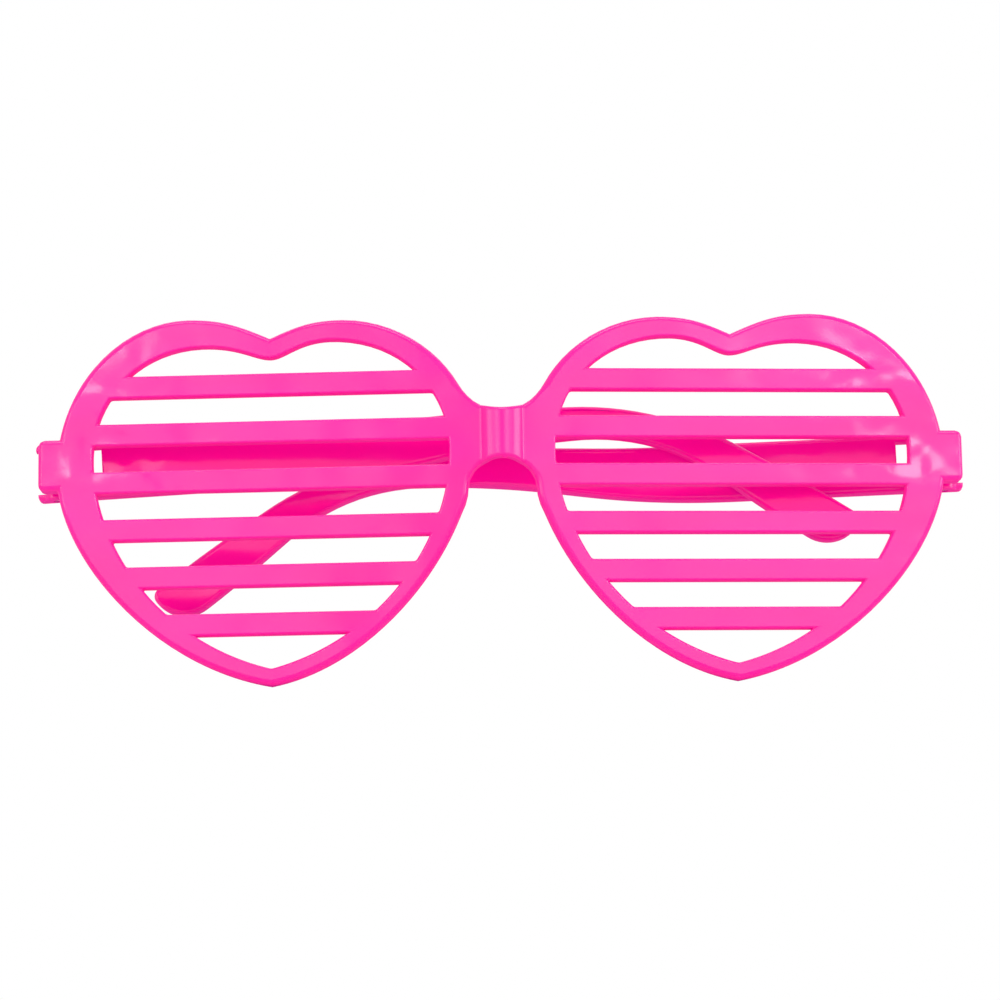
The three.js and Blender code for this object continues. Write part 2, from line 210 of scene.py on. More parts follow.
# %% Matching heights on the edge
HINGE_Z = 0.00055
BLOCK_HEIGHT = 0.0088
SADDLE_JOIN = 1.7
ARCH_JOIN_Z = -0.002
RIM_SLANT_TOP = 0.0017
RIM_SLANT_TIP = -0.003
block_top = HINGE_Z + BLOCK_HEIGHT / 2 + HEART_DROP
block_bottom = HINGE_Z - BLOCK_HEIGHT / 2 + HEART_DROP
saddle_height = place_on(edge_nose, SADDLE_JOIN).y
first_lower, second_lower, third_upper, third_lower = (slat_edges[number] for number in (1, 3, 4, 5))
temple_levels = [
    (top_edge, top_edge + RIM_SLANT_TOP),
    (second_lower, block_top),
    (third_lower, block_bottom),
    (tip_edge, tip_edge + RIM_SLANT_TIP),
]
nose_levels = [
    (top_edge, top_edge + RIM_SLANT_TOP),
    (first_lower, saddle_height),
    (third_upper, ARCH_JOIN_Z + HEART_DROP),
    (tip_edge, tip_edge + RIM_SLANT_TIP),
]


def level_on_edge(levels, height):
    for (high, high_edge), (low, low_edge) in zip(levels, levels[1:]):
        if height >= low:
            share = (high - height) / (high - low)
            return high_edge + (low_edge - high_edge) * share
    return levels[-1][1]


print("end block from", round(block_bottom, 5), "to", round(block_top, 5), "above the heart's middle")

# %% [markdown]
# Now the pairs of places can be listed, from the dip to the tip. The lobe and the tip are divided into
# equal shares of both lines. Down the side the places follow the slats and the slots between them, with a
# few steps in each. More steps would make the curve rounder, but then the points stand closer together
# than a fillet is wide, and the fillets fold over.

# %% Rings of places
LOBE_STEPS = 26
SLAT_STEPS = 3
SLOT_STEPS = 3
TIP_STEPS = 12


def side_heights():
    heights = [slat_edges[0]]
    for number, (upper, lower) in enumerate(zip(slat_edges, slat_edges[1:])):
        steps = SLOT_STEPS if number % 2 else SLAT_STEPS
        heights += [upper + (lower - upper) * step / steps for step in range(1, steps + 1)]
    return heights


def ring_places(opening, edge, levels):
    opening_start = station_at(opening, top_edge)
    edge_start = station_at(edge, levels[0][1])
    opening_end = station_at(opening, tip_edge)
    edge_end = station_at(edge, levels[-1][1])
    places = []
    for step in range(LOBE_STEPS):
        share = step / LOBE_STEPS
        places.append((place_on(opening, opening_start * share), place_on(edge, edge_start * share)))
    for height in side_heights():
        on_edge = station_at(edge, level_on_edge(levels, height))
        places.append((place_on(opening, station_at(opening, height)), place_on(edge, on_edge)))
    for step in range(1, TIP_STEPS + 1):
        share = step / TIP_STEPS
        on_opening = opening_end + (HEART_TIP - opening_end) * share
        on_edge = edge_end + (HEART_TIP - edge_end) * share
        places.append((place_on(opening, on_opening), place_on(edge, on_edge)))
    return places


temple_places = ring_places(opening_temple, edge_temple, temple_levels)
nose_places = ring_places(opening_nose, edge_nose, nose_levels)
print(len(temple_places), "places on each side of a heart")

# %% [markdown]
# ## The nose arch
# Below the bridge the edge of both hearts runs into one arch over the nose. It is squarer than a half
# circle, so it follows a superellipse, and the lower part of the heart's edge is blended into it. Beside
# the bridge there is no edge at all, only a smooth face. There the points move a little into the rim,
# which keeps the faces between them evenly wide, so that no dent shows in the reflections.

# %% Nose side
NOSE_ARCH_RADIUS = 0.0054
ARCH_HALF_WIDTH = 0.0059
ARCH_POWER = 2.2
ARCH_BLEND_LOW = -0.0095
ARCH_BLEND_HIGH = -0.003
TOUCH = 1e-6


def smooth(value, low, high):
    t = min(1.0, max(0.0, (value - low) / (high - low)))
    return t * t * (3 - 2 * t)


def arch_x(z):
    up = max(0.0, z + NOSE_ARCH_RADIUS) / NOSE_ARCH_RADIUS
    return ARCH_HALF_WIDTH * (1 - up**ARCH_POWER) ** (1 / ARCH_POWER)


def into_arch(place):
    z = place.y - HEART_DROP
    if z > ARCH_JOIN_Z + TOUCH:
        return place
    share = smooth(z, ARCH_BLEND_LOW, ARCH_BLEND_HIGH)
    arch_out = CREASE_TO_HEART - (arch_x(z) - CREASE_X) / math.cos(WRAP)
    return Vector((place.x + (arch_out - place.x) * share, place.y))


nose_places = [(inner, into_arch(outer)) for inner, outer in nose_places]
SEAM_INSET = 0.0013
slat_step = SLAT_STEPS + SLOT_STEPS
seam_from = LOBE_STEPS + SLAT_STEPS
seam_to = LOBE_STEPS + 2 * slat_step
for number in range(seam_from + 1, seam_to):
    down = (number - seam_from) / (seam_to - seam_from)
    nose_places[number][1].x -= SEAM_INSET * math.sqrt(math.sin(math.pi * down))
print("the bridge grows out of", seam_to - seam_from, "steps of the nose edge")

# %% [markdown]
# ## The front as a sheet
# The front is first drawn as a flat sheet, one half of it. Two closed rings of vertices follow the
# heart's edge and its opening, and bridging the rings makes the rim. Cutting a heart and slots out of a
# plate with Booleans would also work, but working on a sheet of squares keeps the rim, the slats, the end
# block and the bridge one evenly meshed surface, as they are in the mould, so no seam shows on the face
# and every edge can get a fillet.


# %% Rim
def closed_ring(bm, count):
    made = bmesh.ops.create_circle(bm, segments=count, radius=CREASE_TO_HEART)["verts"]
    return sorted(made, key=lambda vert: math.atan2(vert.co.y, vert.co.x))


EDGE_MARK, OPENING_MARK, BLOCK_MARK, BRIDGE_MARK, LUG_MARK, PAD_MARK = range(6)
sheet = bmesh.new()
kind = sheet.verts.layers.int.new("kind")


def heart_ring(places, mark):
    made = closed_ring(sheet, len(places))
    for vert, (out, up) in zip(made, places):
        vert.co = (CREASE_TO_HEART + out, 0, up - HEART_DROP)
        vert[kind] = mark
    return made


round_heart = [(1, pair) for pair in temple_places]
round_heart += [(-1, pair) for pair in nose_places[-2:0:-1]]
on_opening = [(side * inner.x, inner.y) for side, (inner, outer) in round_heart]
on_edge = [(side * outer.x, outer.y) for side, (inner, outer) in round_heart]
opening_ring = heart_ring(on_opening, OPENING_MARK)
edge_ring = heart_ring(on_edge, EDGE_MARK)
bmesh.ops.bridge_loops(sheet, edges=sheet.edges[:])
ring_count = len(round_heart)
print("rim of", len(sheet.faces), "faces between rings of", ring_count)

# %% [markdown]
# A slat is a flat strip that was moulded in one with the rim. A long box pushed into the rim at both ends
# would look much the same from afar, but it would leave a seam and couldn't share a fillet with the rim.
# So each slat is one more bridge, from a short run of edges on the temple side of the opening to the run
# opposite.


# %% Slats
def chain_edges(chain):
    return [sheet.edges.get(pair) for pair in zip(chain, chain[1:])]


for number in range(SLAT_COUNT):
    upper = LOBE_STEPS + number * slat_step
    temple_end = chain_edges(opening_ring[upper : upper + SLAT_STEPS + 1])
    nose_end = chain_edges(opening_ring[ring_count - upper - SLAT_STEPS : ring_count - upper + 1])
    bmesh.ops.bridge_loops(sheet, edges=temple_end + nose_end)
print("with slats", len(sheet.faces), "faces")

# %% [markdown]
# The end block carries the hinge. Its face lies flush with the rim and no line shows between them, as one
# would beside a separate block. So it is the rim's edge, pulled straight out to the full width of the
# front. Then the flat half is turned back round the crease.

# %% End block, in outline
FRONT_WIDTH = 0.1555
block_end = (FRONT_WIDTH / 2 - CREASE_X) / math.cos(WRAP)


def pull_out(chain):
    made = bmesh.ops.extrude_edge_only(sheet, edges=chain_edges(chain))["geom"]
    fresh = {item for item in made if isinstance(item, bmesh.types.BMVert)}
    return [next(e.other_vert(v) for e in v.link_edges if e.other_vert(v) in fresh) for v in chain]


block_from = LOBE_STEPS + slat_step + SLAT_STEPS
block_to = block_from + slat_step
for vert in pull_out(edge_ring[block_from : block_to + 1]):
    vert.co.x = block_end
    vert[kind] = BLOCK_MARK


def turn_back(verts):
    bmesh.ops.rotate(sheet, verts=verts, matrix=Matrix.Rotation(WRAP, 3, "Z"))
    bmesh.ops.translate(sheet, verts=verts, vec=(CREASE_X, 0, 0))


turn_back(sheet.verts)
print("the block ends", round(block_end, 5), "m along the front")

# %% [markdown]
# ## The nose bridge
# Between its two creases the bridge swells forward like a short piece of pipe, with a hollow saddle on
# top and the nose arch below. Two short functions say how high the saddle and the arch lie at a distance
# from the middle, and a third one divides the height between them. The edge of the heart that the bridge
# grows from is looked up as well.

# %% Saddle and arch
BRIDGE_HEIGHT = 0.0085
SADDLE_RADIUS = 0.0092


def saddle_z(x):
    return BRIDGE_HEIGHT + SADDLE_RADIUS - math.sqrt(SADDLE_RADIUS**2 - x**2)


def arch_z(x):
    out = abs(x) / ARCH_HALF_WIDTH
    return NOSE_ARCH_RADIUS * (1 - out**ARCH_POWER) ** (1 / ARCH_POWER) - NOSE_ARCH_RADIUS


def bridge_z(x, down):
    return saddle_z(x) + (arch_z(x) - saddle_z(x)) * down


chain = edge_ring[ring_count - seam_to : ring_count - seam_from + 1][::-1]
start = [Vector((vert.co.x, vert.co.z)) for vert in chain]
rows = len(chain) - 1
print("the bridge is", round(saddle_z(0) - arch_z(0), 5), "m high in the middle, in", rows, "rows")

# %% [markdown]
# That edge is pulled out towards the middle, one column at a time, and each column is set in place: first
# along the flat face, up to the crease. A straight top would meet the rim and the saddle in two corners,
# which the real front doesn't have. So the top follows one more cubic piece, which leaves the rim in its
# own direction and meets the saddle in the saddle's.

# %% Up to the crease
CREASE_SHARES = (0.22, 0.45, 0.68, 1.0)
SADDLE_PULL = 0.6
SHORT_STEP = 0.01
next_out, next_up = place_on(edge_nose, SADDLE_JOIN + SHORT_STEP)
next_x = on_front(CREASE_TO_HEART - next_out, 0)[0]
rim_top, rim_bottom = start[0], start[-1]
rim_slope = (rim_top.y - (next_up - HEART_DROP)) / (rim_top.x - next_x)
saddle_slope = CREASE_X / math.sqrt(SADDLE_RADIUS**2 - CREASE_X**2)
crease_top = Vector((CREASE_X, saddle_z(CREASE_X)))
crease_bottom = Vector((CREASE_X, arch_z(CREASE_X)))
rise_apart = crease_top.y - rim_top.y + rim_slope * rim_top.x - saddle_slope * crease_top.x
meet_x = rise_apart / (rim_slope - saddle_slope)
meet = Vector((meet_x, crease_top.y + saddle_slope * (meet_x - crease_top.x)))
saddle_blend = [rim_top, rim_top.lerp(meet, SADDLE_PULL), crease_top.lerp(meet, SADDLE_PULL), crease_top]

for share in CREASE_SHARES:
    chain = pull_out(chain)
    top_shift = place_on(saddle_blend, share) - rim_top.lerp(crease_top, share)
    bottom_x = rim_bottom.x + (CREASE_X - rim_bottom.x) * share
    bottom_shift = Vector((bottom_x, arch_z(bottom_x))) - rim_bottom.lerp(crease_bottom, share)
    for row, vert in enumerate(chain):
        down = row / rows
        straight = start[row].lerp(Vector((CREASE_X, bridge_z(CREASE_X, down))), share)
        x, z = straight + top_shift * (1 - down) + bottom_shift * down
        vert.co = (x, (x - CREASE_X) * math.tan(WRAP), z)
        vert[kind] = BRIDGE_MARK
print("the saddle meets the crease at height", round(crease_top.y, 5))

# %% [markdown]
# From the crease on, the columns go round the pipe, whose radius follows from how wide and how far it
# swells. The other half of the front is a mirror image of this one, merged along the middle. The sheet's
# faces must all look forward before it gets its thickness.

# %% Round the pipe
BRIDGE_BULGE = 0.0017
BULGE_STEPS = 8
bulge_radius = (CREASE_X**2 + BRIDGE_BULGE**2) / (2 * BRIDGE_BULGE)
bulge_angle = math.asin(CREASE_X / bulge_radius)
for step in range(1, BULGE_STEPS + 1):
    angle = bulge_angle * (1 - step / BULGE_STEPS)
    x = bulge_radius * math.sin(angle)
    chain = pull_out(chain)
    for row, vert in enumerate(chain):
        vert.co = (x, bulge_radius * (1 - math.cos(angle)) - BRIDGE_BULGE, bridge_z(x, row / rows))
        vert[kind] = BRIDGE_MARK

half_sheet = sheet.verts[:] + sheet.edges[:] + sheet.faces[:]
bmesh.ops.mirror(sheet, geom=half_sheet, axis="X", merge_dist=TOUCH)
bmesh.ops.remove_doubles(sheet, verts=sheet.verts, dist=TOUCH)
bmesh.ops.recalc_face_normals(sheet, faces=sheet.faces)
if sum(face.normal.y for face in sheet.faces) > 0:
    bmesh.ops.reverse_faces(sheet, faces=sheet.faces)
print("sheet of", len(sheet.faces), "faces on a pipe of radius", round(bulge_radius, 5))

# %% [markdown]
# ## Thickness
# Extruding the whole sheet backwards makes a moulding of it. A Solidify modifier would give every place
# the same wall, but behind the bridge the real back follows a narrower pipe, the hollow that sits on the
# nose, so the new vertices are moved one by one.


# %% Extrude
def new_verts(made):
    return [item for item in made["geom"] if isinstance(item, bmesh.types.BMVert)]


FRONT_THICKNESS = 0.0026
BRIDGE_WALL = 0.0023
hollow_radius = bulge_radius - BRIDGE_WALL
bulge_y = bulge_radius - BRIDGE_BULGE
for vert in new_verts(bmesh.ops.extrude_face_region(sheet, geom=sheet.faces[:])):
    x, y, z = vert.co
    side = math.copysign(1, x)
    if abs(x) > CREASE_X - TOUCH:
        vert.co = (x - side * FRONT_THICKNESS * math.sin(WRAP), y + FRONT_THICKNESS * math.cos(WRAP), z)
    else:
        angle = math.asin(x / bulge_radius)
        down = (saddle_z(x) - z) / (saddle_z(x) - arch_z(x))
        hollow_x = hollow_radius * math.sin(angle)
        vert.co = (hollow_x, bulge_y - hollow_radius * math.cos(angle), bridge_z(hollow_x, down))


def open_edges(bm):
    return sum(not edge.is_manifold for edge in bm.edges)


bmesh.ops.recalc_face_normals(sheet, faces=sheet.faces)
print("moulding of", len(sheet.faces), "faces with", open_edges(sheet), "open edges")

# %% [markdown]
# ## End blocks
# The end blocks are a little deeper than the rims and lap over them at the back. The rim's back is cut
# along the line where a block begins, and the faces beyond that line are extruded once more. What was
# under them is deleted, so that no wall is left inside the moulding.

# %% Deepen the blocks
BLOCK_DEPTH = 0.00329
BLOCK_LAP = 0.0044
CUT_MARGIN = 0.002
LOOKS_BACK = 0.9


def back_faces(inner, away, behind, margin):
    found = []
    for face in sheet.faces:
        centre = face.calc_center_median()
        level = abs(centre.z - HINGE_Z) < BLOCK_HEIGHT / 2
        if level and face.normal.dot(behind) > LOOKS_BACK and (centre - inner).dot(away) > -margin:
            found.append(face)
    return found


lap_x, lap_y = on_front(CREASE_TO_HEART + EDGE_TEMPLE["reach"][0] - BLOCK_LAP, 0)
for side in (-1, 1):
    inner = Vector((side * lap_x, lap_y, 0))
    away = Vector((side * math.cos(WRAP), math.sin(WRAP), 0))
    behind = Vector((-side * math.sin(WRAP), math.cos(WRAP), 0))
    near = back_faces(inner, away, behind, CUT_MARGIN)
    around = {item for face in near for item in (*face.edges, *face.verts)}
    bmesh.ops.bisect_plane(sheet, geom=near + list(around), plane_co=inner, plane_no=away)
    pad = back_faces(inner, away, behind, 0)
    lifted = new_verts(bmesh.ops.extrude_face_region(sheet, geom=pad))
    bmesh.ops.translate(sheet, verts=lifted, vec=behind * (BLOCK_DEPTH - FRONT_THICKNESS))
    for vert in lifted:
        vert[kind] = PAD_MARK
    bmesh.ops.delete(sheet, geom=[face for face in pad if face.is_valid], context="FACES")
    print("block of", len(pad), "faces on side", side)
bmesh.ops.recalc_face_normals(sheet, faces=sheet.faces)
print("moulding of", len(sheet.faces), "faces with", open_edges(sheet), "open edges")

# %% [markdown]
# ## Hinge lugs
# Behind each end block stands the lug that the temple's fork reaches round. Seen from above it is a
# tongue with a round end and a round bore. Both outlines are given as a reach from the pin at the same
# angles, among them the two corners of the tongue's foot, so that they can be joined point by point. The
# foot of the lug is sunk a little into the block, as a moulded lug has no joint there.

# %% Outline of a lug
KNUCKLE_RADIUS = 0.00215
PIN_BEHIND = 0.0069
LUG_RADIUS = 0.0021
LUG_BORE = 0.001
LUG_SINK = 0.0004
ROUND_STEPS = 32
pin_along = block_end - KNUCKLE_RADIUS
foot_behind = BLOCK_DEPTH - LUG_SINK - PIN_BEHIND
foot_corner = math.atan2(-foot_behind, LUG_RADIUS)
lug_angles = [math.tau * step / ROUND_STEPS for step in range(ROUND_STEPS)]
lug_angles = sorted(lug_angles + [math.tau - foot_corner, math.pi + foot_corner])


def bore_reach(angle):
    return LUG_BORE


def tongue_reach(angle):
    if math.sin(angle) >= 0:
        return LUG_RADIUS
    to_side = LUG_RADIUS / max(TOUCH, abs(math.cos(angle)))
    return min(to_side, foot_behind / math.sin(angle))


print("the pin stands", round(pin_along, 5), "m along the front and", PIN_BEHIND, "m behind it")

# %% [markdown]
# A ring of vertices round the bore and a second one on the tongue's outline are bridged, and the flat
# face that this gives is extruded to the lug's height. A cylinder with a Boolean hole would do as well,
# but here the same operators as for the rim are enough. The lug is turned back with the front, and the
# one on the other side is its mirror image.

# %% The lugs
LUG_HEIGHT = 0.0068


def add_lug(side):
    loops = []
    for reach in (bore_reach, tongue_reach):
        loop = closed_ring(sheet, len(lug_angles))
        for vert, angle in zip(loop, lug_angles):
            along = pin_along + reach(angle) * math.cos(angle)
            behind = PIN_BEHIND + reach(angle) * math.sin(angle)
            vert.co = (along, behind, HINGE_Z - LUG_HEIGHT / 2)
            vert[kind] = LUG_MARK
        loops += chain_edges(loop + loop[:1])
    faces = bmesh.ops.bridge_loops(sheet, edges=loops)["faces"]
    upper = new_verts(bmesh.ops.extrude_face_region(sheet, geom=faces))
    bmesh.ops.translate(sheet, verts=upper, vec=(0, 0, LUG_HEIGHT))
    lug = list({vert for face in faces for vert in face.verts} | set(upper))
    turn_back(lug)
    bmesh.ops.scale(sheet, verts=lug, vec=(side, 1, 1))
    return lug


for side in (-1, 1):
    print("lug of", len(add_lug(side)), "vertices on side", side)

# %% [markdown]
# ## The gate mark
# Plastic entered the mould in the middle of the bridge's underside, and the stub that was snapped off
# there left a small rough nub. A low cone is enough for it. Then the normals are made to look outwards
# once more, because the mirrored lug came out inside out.

# %% The nub
GATE_RADIUS = 0.00055
GATE_TOP_RADIUS = 0.0003
GATE_HEIGHT = 0.00035
GATE_PLACE = (0.0003, -0.0011, 0)
GATE_SIDES = 12
radii = {"radius1": GATE_TOP_RADIUS, "radius2": GATE_RADIUS}
nub = bmesh.ops.create_cone(sheet, cap_ends=True, segments=GATE_SIDES, depth=GATE_HEIGHT, **radii)["verts"]
bmesh.ops.translate(sheet, verts=nub, vec=GATE_PLACE)
for vert in nub:
    vert[kind] = LUG_MARK
bmesh.ops.recalc_face_normals(sheet, faces=sheet.faces)
print("nub of", len(nub), "vertices; moulding with", open_edges(sheet), "open edges")

# %% [markdown]
# ## Fillets of the front
# A mould has no sharp corners: the outer edge of these hearts is well rounded, the slots less, and the
# creases of the bridge hardly. One Bevel modifier can give them all, because it multiplies its width by a
# weight that each edge carries. Which fillet an edge gets follows from the marks that its vertices were
# given when they were made, and from the way that it runs.

# %% Which fillet an edge gets
LARGEST_FILLET = 0.0012
EDGE_FILLET = 0.0010
BRIDGE_FILLET = 0.0007
BACK_FILLET = 0.0006
SLOT_FILLET = 0.00038
SLOT_CORNER = 0.00035
PAD_FILLET = 0.0003
LUG_FILLET = 0.0002
CREASE_FILLET = 0.00016
ALONG_DEPTH = 0.8
TO_THE_BACK = 0.5
LEVEL = 0.01


def fillet_of(edge):
    a, b = edge.verts
    lean = math.copysign(math.sin(WRAP), a.co.x + b.co.x)
    depth_direction = Vector((-lean, math.cos(WRAP), 0))
    through = abs((b.co - a.co).normalized().dot(depth_direction)) > ALONG_DEPTH
    marks = {a[kind], b[kind]}
    if marks == {LUG_MARK}:
        return LUG_FILLET
    if through and marks == {OPENING_MARK}:
        return SLOT_CORNER
    if through:
        return LARGEST_FILLET if BLOCK_MARK in marks else CREASE_FILLET
    if marks == {OPENING_MARK}:
        return SLOT_FILLET
    if marks == {PAD_MARK} or not edge.is_convex:
        return PAD_FILLET
    if max(face.normal.y for face in edge.link_faces) > TO_THE_BACK:
        return BACK_FILLET
    if marks == {BRIDGE_MARK}:
        upright = max(abs(face.normal.z) for face in edge.link_faces) < LEVEL
        return CREASE_FILLET if upright else BRIDGE_FILLET
    return EDGE_FILLET


print("fillets from", CREASE_FILLET, "to", LARGEST_FILLET, "m")

# %% [markdown]
# Only edges at which the surface turns sharply get a weight. The modifier can also find such edges by
# itself, by an angle limit, but then all fillets are equally wide. The flat joints between the squares of
# the sheet get no weight, or lines would be cut into the faces.

# %% Weigh the edges
SHARP_TURN = math.radians(28)
sheet_weight = sheet.edges.layers.float.new("bevel_weight_edge")
for edge in sheet.edges:
    if edge.calc_face_angle(0.0) > SHARP_TURN:
        edge[sheet_weight] = fillet_of(edge) / LARGEST_FILLET
print(sum(edge[sheet_weight] > 0 for edge in sheet.edges), "edges of the front get a fillet")

# %% [markdown]
# ## From bmesh to object
# Every piece is handed over in the same way: a mesh at the origin with smooth faces, and a Bevel modifier
# that reads the edge weights. Hardened normals keep the broad faces flat right up to their fillets. Then
# the front is told which body it rides on, and the CAD solid that it stands in for is hidden.

# %% Hand over the front
FILLET_STEPS = 4
ROUND_PROFILE = 0.5


def place_piece(name, mesh):
    piece = bpy.data.objects.new(name, mesh)
    bpy.context.scene.collection.objects.link(piece)
    return piece


def finished_mesh(name, bm):
    mesh = bpy.data.meshes.new(name)
    bm.to_mesh(mesh)
    bm.free()
    mesh.shade_smooth()
    return mesh


def add_fillets(piece, width):
    fillet = piece.modifiers.new("fillets", "BEVEL")
    fillet.limit_method = "WEIGHT"
    fillet.width = width
    fillet.segments = FILLET_STEPS
    fillet.profile = ROUND_PROFILE
    fillet.use_clamp_overlap = False
    fillet.harden_normals = True


front_moulding = place_piece("front_moulding", finished_mesh("front_moulding", sheet))
add_fillets(front_moulding, LARGEST_FILLET)
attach(front_moulding, "front")
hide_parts("front_frame")
print(front_moulding.name, "has", len(front_moulding.data.polygons), "faces before its fillets")

# %% [markdown]
# ## The temples
# A temple is a flat bar that runs straight back from the hinge, rises a little, bends down over the ear
# and ends in a rounded paddle. It is drawn lying along X, with the pin at the origin. Its middle line is
# a straight piece, a gentle S, an arc and the straight hook. A curve with a bevel could sweep a bar along
# such a line, but this bar changes its height all the way, so the line is kept as a list of points.

# %% The middle line
HEEL_LENGTH = 0.00325
RISE_START = 0.0375
EAR_DISTANCE = 0.0877
EAR_RISE = 0.0027
EAR_RADIUS = 0.044
HOOK_ANGLE = math.radians(36.5)
HOOK_LENGTH = 0.024
LINE_STEPS = 48
bend_centre = Vector((EAR_DISTANCE, EAR_RISE - EAR_RADIUS))
hook_start = bend_centre + EAR_RADIUS * Vector((math.sin(HOOK_ANGLE), math.cos(HOOK_ANGLE)))
hook_end = hook_start + HOOK_LENGTH * Vector((math.cos(HOOK_ANGLE), -math.sin(HOOK_ANGLE)))
rise_middle = (RISE_START + EAR_DISTANCE) / 2
rise_ends = (Vector((RISE_START, 0)), Vector((EAR_DISTANCE, EAR_RISE)))
rise = [rise_ends[0], Vector((rise_middle, 0)), Vector((rise_middle, EAR_RISE)), rise_ends[1]]
middle_line = [Vector((-HEEL_LENGTH, 0))]
middle_line += [place_on(rise, step / LINE_STEPS) for step in range(LINE_STEPS)]
for step in range(LINE_STEPS + 1):
    turned = HOOK_ANGLE * step / LINE_STEPS
    middle_line.append(bend_centre + EAR_RADIUS * Vector((math.sin(turned), math.cos(turned))))
middle_line.append(hook_end)
print("middle line of", len(middle_line), "points, with its end at", tuple(hook_end))

# %% [markdown]
# To lay things along the line, it has to be asked for the place and the direction at a distance from the
# heel. The length up to each point is added up once, and between two points the line is straight.

# %% Along the line
lengths = [0.0]
for a, b in zip(middle_line, middle_line[1:]):
    lengths.append(lengths[-1] + (b - a).length)
temple_length = lengths[-1]


def on_line(distance):
    index = max(i for i in range(len(lengths) - 1) if lengths[i] <= distance + TOUCH)
    a, b = middle_line[index], middle_line[index + 1]
    along = (b - a).normalized()
    return a + along * (distance - lengths[index]), along


print("a temple is", round(temple_length, 5), "m long on its middle line")

# %% [markdown]
# The bar is as high as the fork at the hinge, tapers to a waist over the ear and widens again to the
# paddle. Each change starts and ends softly, which two smooth steps do with few numbers. Its corners are
# rounded in outline: tightly at the heel and on top of the tip, broadly under the tip. A bevel could
# round them too, but then its width would have to fit between points that stand close together.

# %% Height of the bar
FORK_HEIGHT = 0.00995
TAPER_START = 0.0375
TAPER_END = 0.1035
WAIST_HEIGHT = 0.0052
PADDLE_DISTANCE = 0.136
PADDLE_HEIGHT = 0.00775


def half_height(distance):
    height = FORK_HEIGHT + smooth(distance, TAPER_START, TAPER_END) * (WAIST_HEIGHT - FORK_HEIGHT)
    height += smooth(distance, TAPER_END, PADDLE_DISTANCE) * (PADDLE_HEIGHT - WAIST_HEIGHT)
    return height / 2


def corner_trim(radius, before_end):
    into = max(0.0, radius - before_end)
    return radius - math.sqrt(radius**2 - into**2)


print("half heights", [round(half_height(temple_length * share), 5) for share in (0, 0.5, 0.75, 1)])

# %% [markdown]
# The bar's outline is taken at cross-lines, which stand closely at the heel and the tip, where it is
# round, and evenly between. Four rows run along it: the bottom, the two edges of the fork's window, and
# the top. Beside the window the inner rows keep the window's height, and beyond it they share the bar's.

# %% Rows and cross-lines
FORK_WINDOW_LENGTH = 0.00775
WINDOW_HEIGHT = 0.0074
FORK_CORNER = 0.0009
TIP_ROUND = 0.006
TIP_CORNER = 0.0016
HEEL_STEPS = 5
ARM_STEP = 0.0022
TEMPLE_TIP_STEPS = 14
WINDOW_ROWS = (1, 2)
window_end = HEEL_LENGTH + FORK_WINDOW_LENGTH
tip_start = temple_length - TIP_ROUND


def even_steps(low, high):
    steps = round((high - low) / ARM_STEP)
    return [low + (high - low) * step / steps for step in range(steps)]


quarter = math.pi / 2
sections = [FORK_CORNER * (1 - math.cos(quarter * step / HEEL_STEPS)) for step in range(HEEL_STEPS)]
sections += even_steps(FORK_CORNER, window_end) + even_steps(window_end, tip_start)
for step in range(TEMPLE_TIP_STEPS + 1):
    sections.append(tip_start + TIP_ROUND * math.sin(quarter * step / TEMPLE_TIP_STEPS))
arm_share = (FORK_HEIGHT - WINDOW_HEIGHT) / 2 / FORK_HEIGHT
row_shares = (0, arm_share, 1 - arm_share, 1)


def row_height(distance, row):
    half = half_height(distance) - corner_trim(FORK_CORNER, distance)
    top = half - corner_trim(TIP_CORNER, temple_length - distance)
    bottom = corner_trim(TIP_ROUND, temple_length - distance) - half
    if row in WINDOW_ROWS and distance < window_end:
        return WINDOW_HEIGHT / 2 if row == max(WINDOW_ROWS) else -WINDOW_HEIGHT / 2
    return bottom + (top - bottom) * row_shares[row]


print(len(sections), "cross-lines along the bar")

# %% [markdown]
# A grid three squares high is laid along the line, and each of its vertices is moved to its place there.
# Each also remembers how far along the bar it is and whether it borders the window, which later steps ask
# for. The middle squares at the hinge end are taken out, which leaves the two arms of the fork.

# %% Grid along the line
GRID_ROWS = 3
HALF_GRID = 0.5
bar = bmesh.new()
spans = len(sections) - 1
bmesh.ops.create_grid(bar, x_segments=spans, y_segments=GRID_ROWS, size=HALF_GRID)
along_bar = bar.verts.layers.float.new("along_bar")
at_window = bar.verts.layers.int.new("at_window")
for vert in bar.verts:
    distance = sections[round((vert.co.x + HALF_GRID) * spans)]
    row = round((vert.co.y + HALF_GRID) * GRID_ROWS)
    middle, along = on_line(distance)
    up = row_height(distance, row)
    vert[along_bar] = distance
    vert[at_window] = row in WINDOW_ROWS and distance < window_end + TOUCH
    vert.co = (middle.x - along.y * up, KNUCKLE_RADIUS, middle.y + along.x * up)

window = [face for face in bar.faces if all(vert[at_window] for vert in face.verts)]
print("grid of", len(bar.faces), "squares, less", len(window), "for the fork's window")
bmesh.ops.delete(bar, geom=window, context="FACES")

# %% [markdown]
# Near the round ends the squares would become slivers, so they are dissolved into one face each: on a
# flat face that changes nothing that is seen, and the fillets run round it better. The vertices that fall
# together at the very end of the tip are merged.

# %% Tip and heel
tip = [face for face in bar.faces if all(vert[along_bar] > tip_start - TOUCH for vert in face.verts)]
bmesh.ops.dissolve_faces(bar, faces=tip)
end = [vert for vert in bar.verts if vert[along_bar] > temple_length - TOUCH]
bmesh.ops.pointmerge(bar, verts=end, merge_co=end[0].co)


def in_heel(vert, side):
    return vert[along_bar] < FORK_CORNER + TOUCH and vert.co.z * side > 0


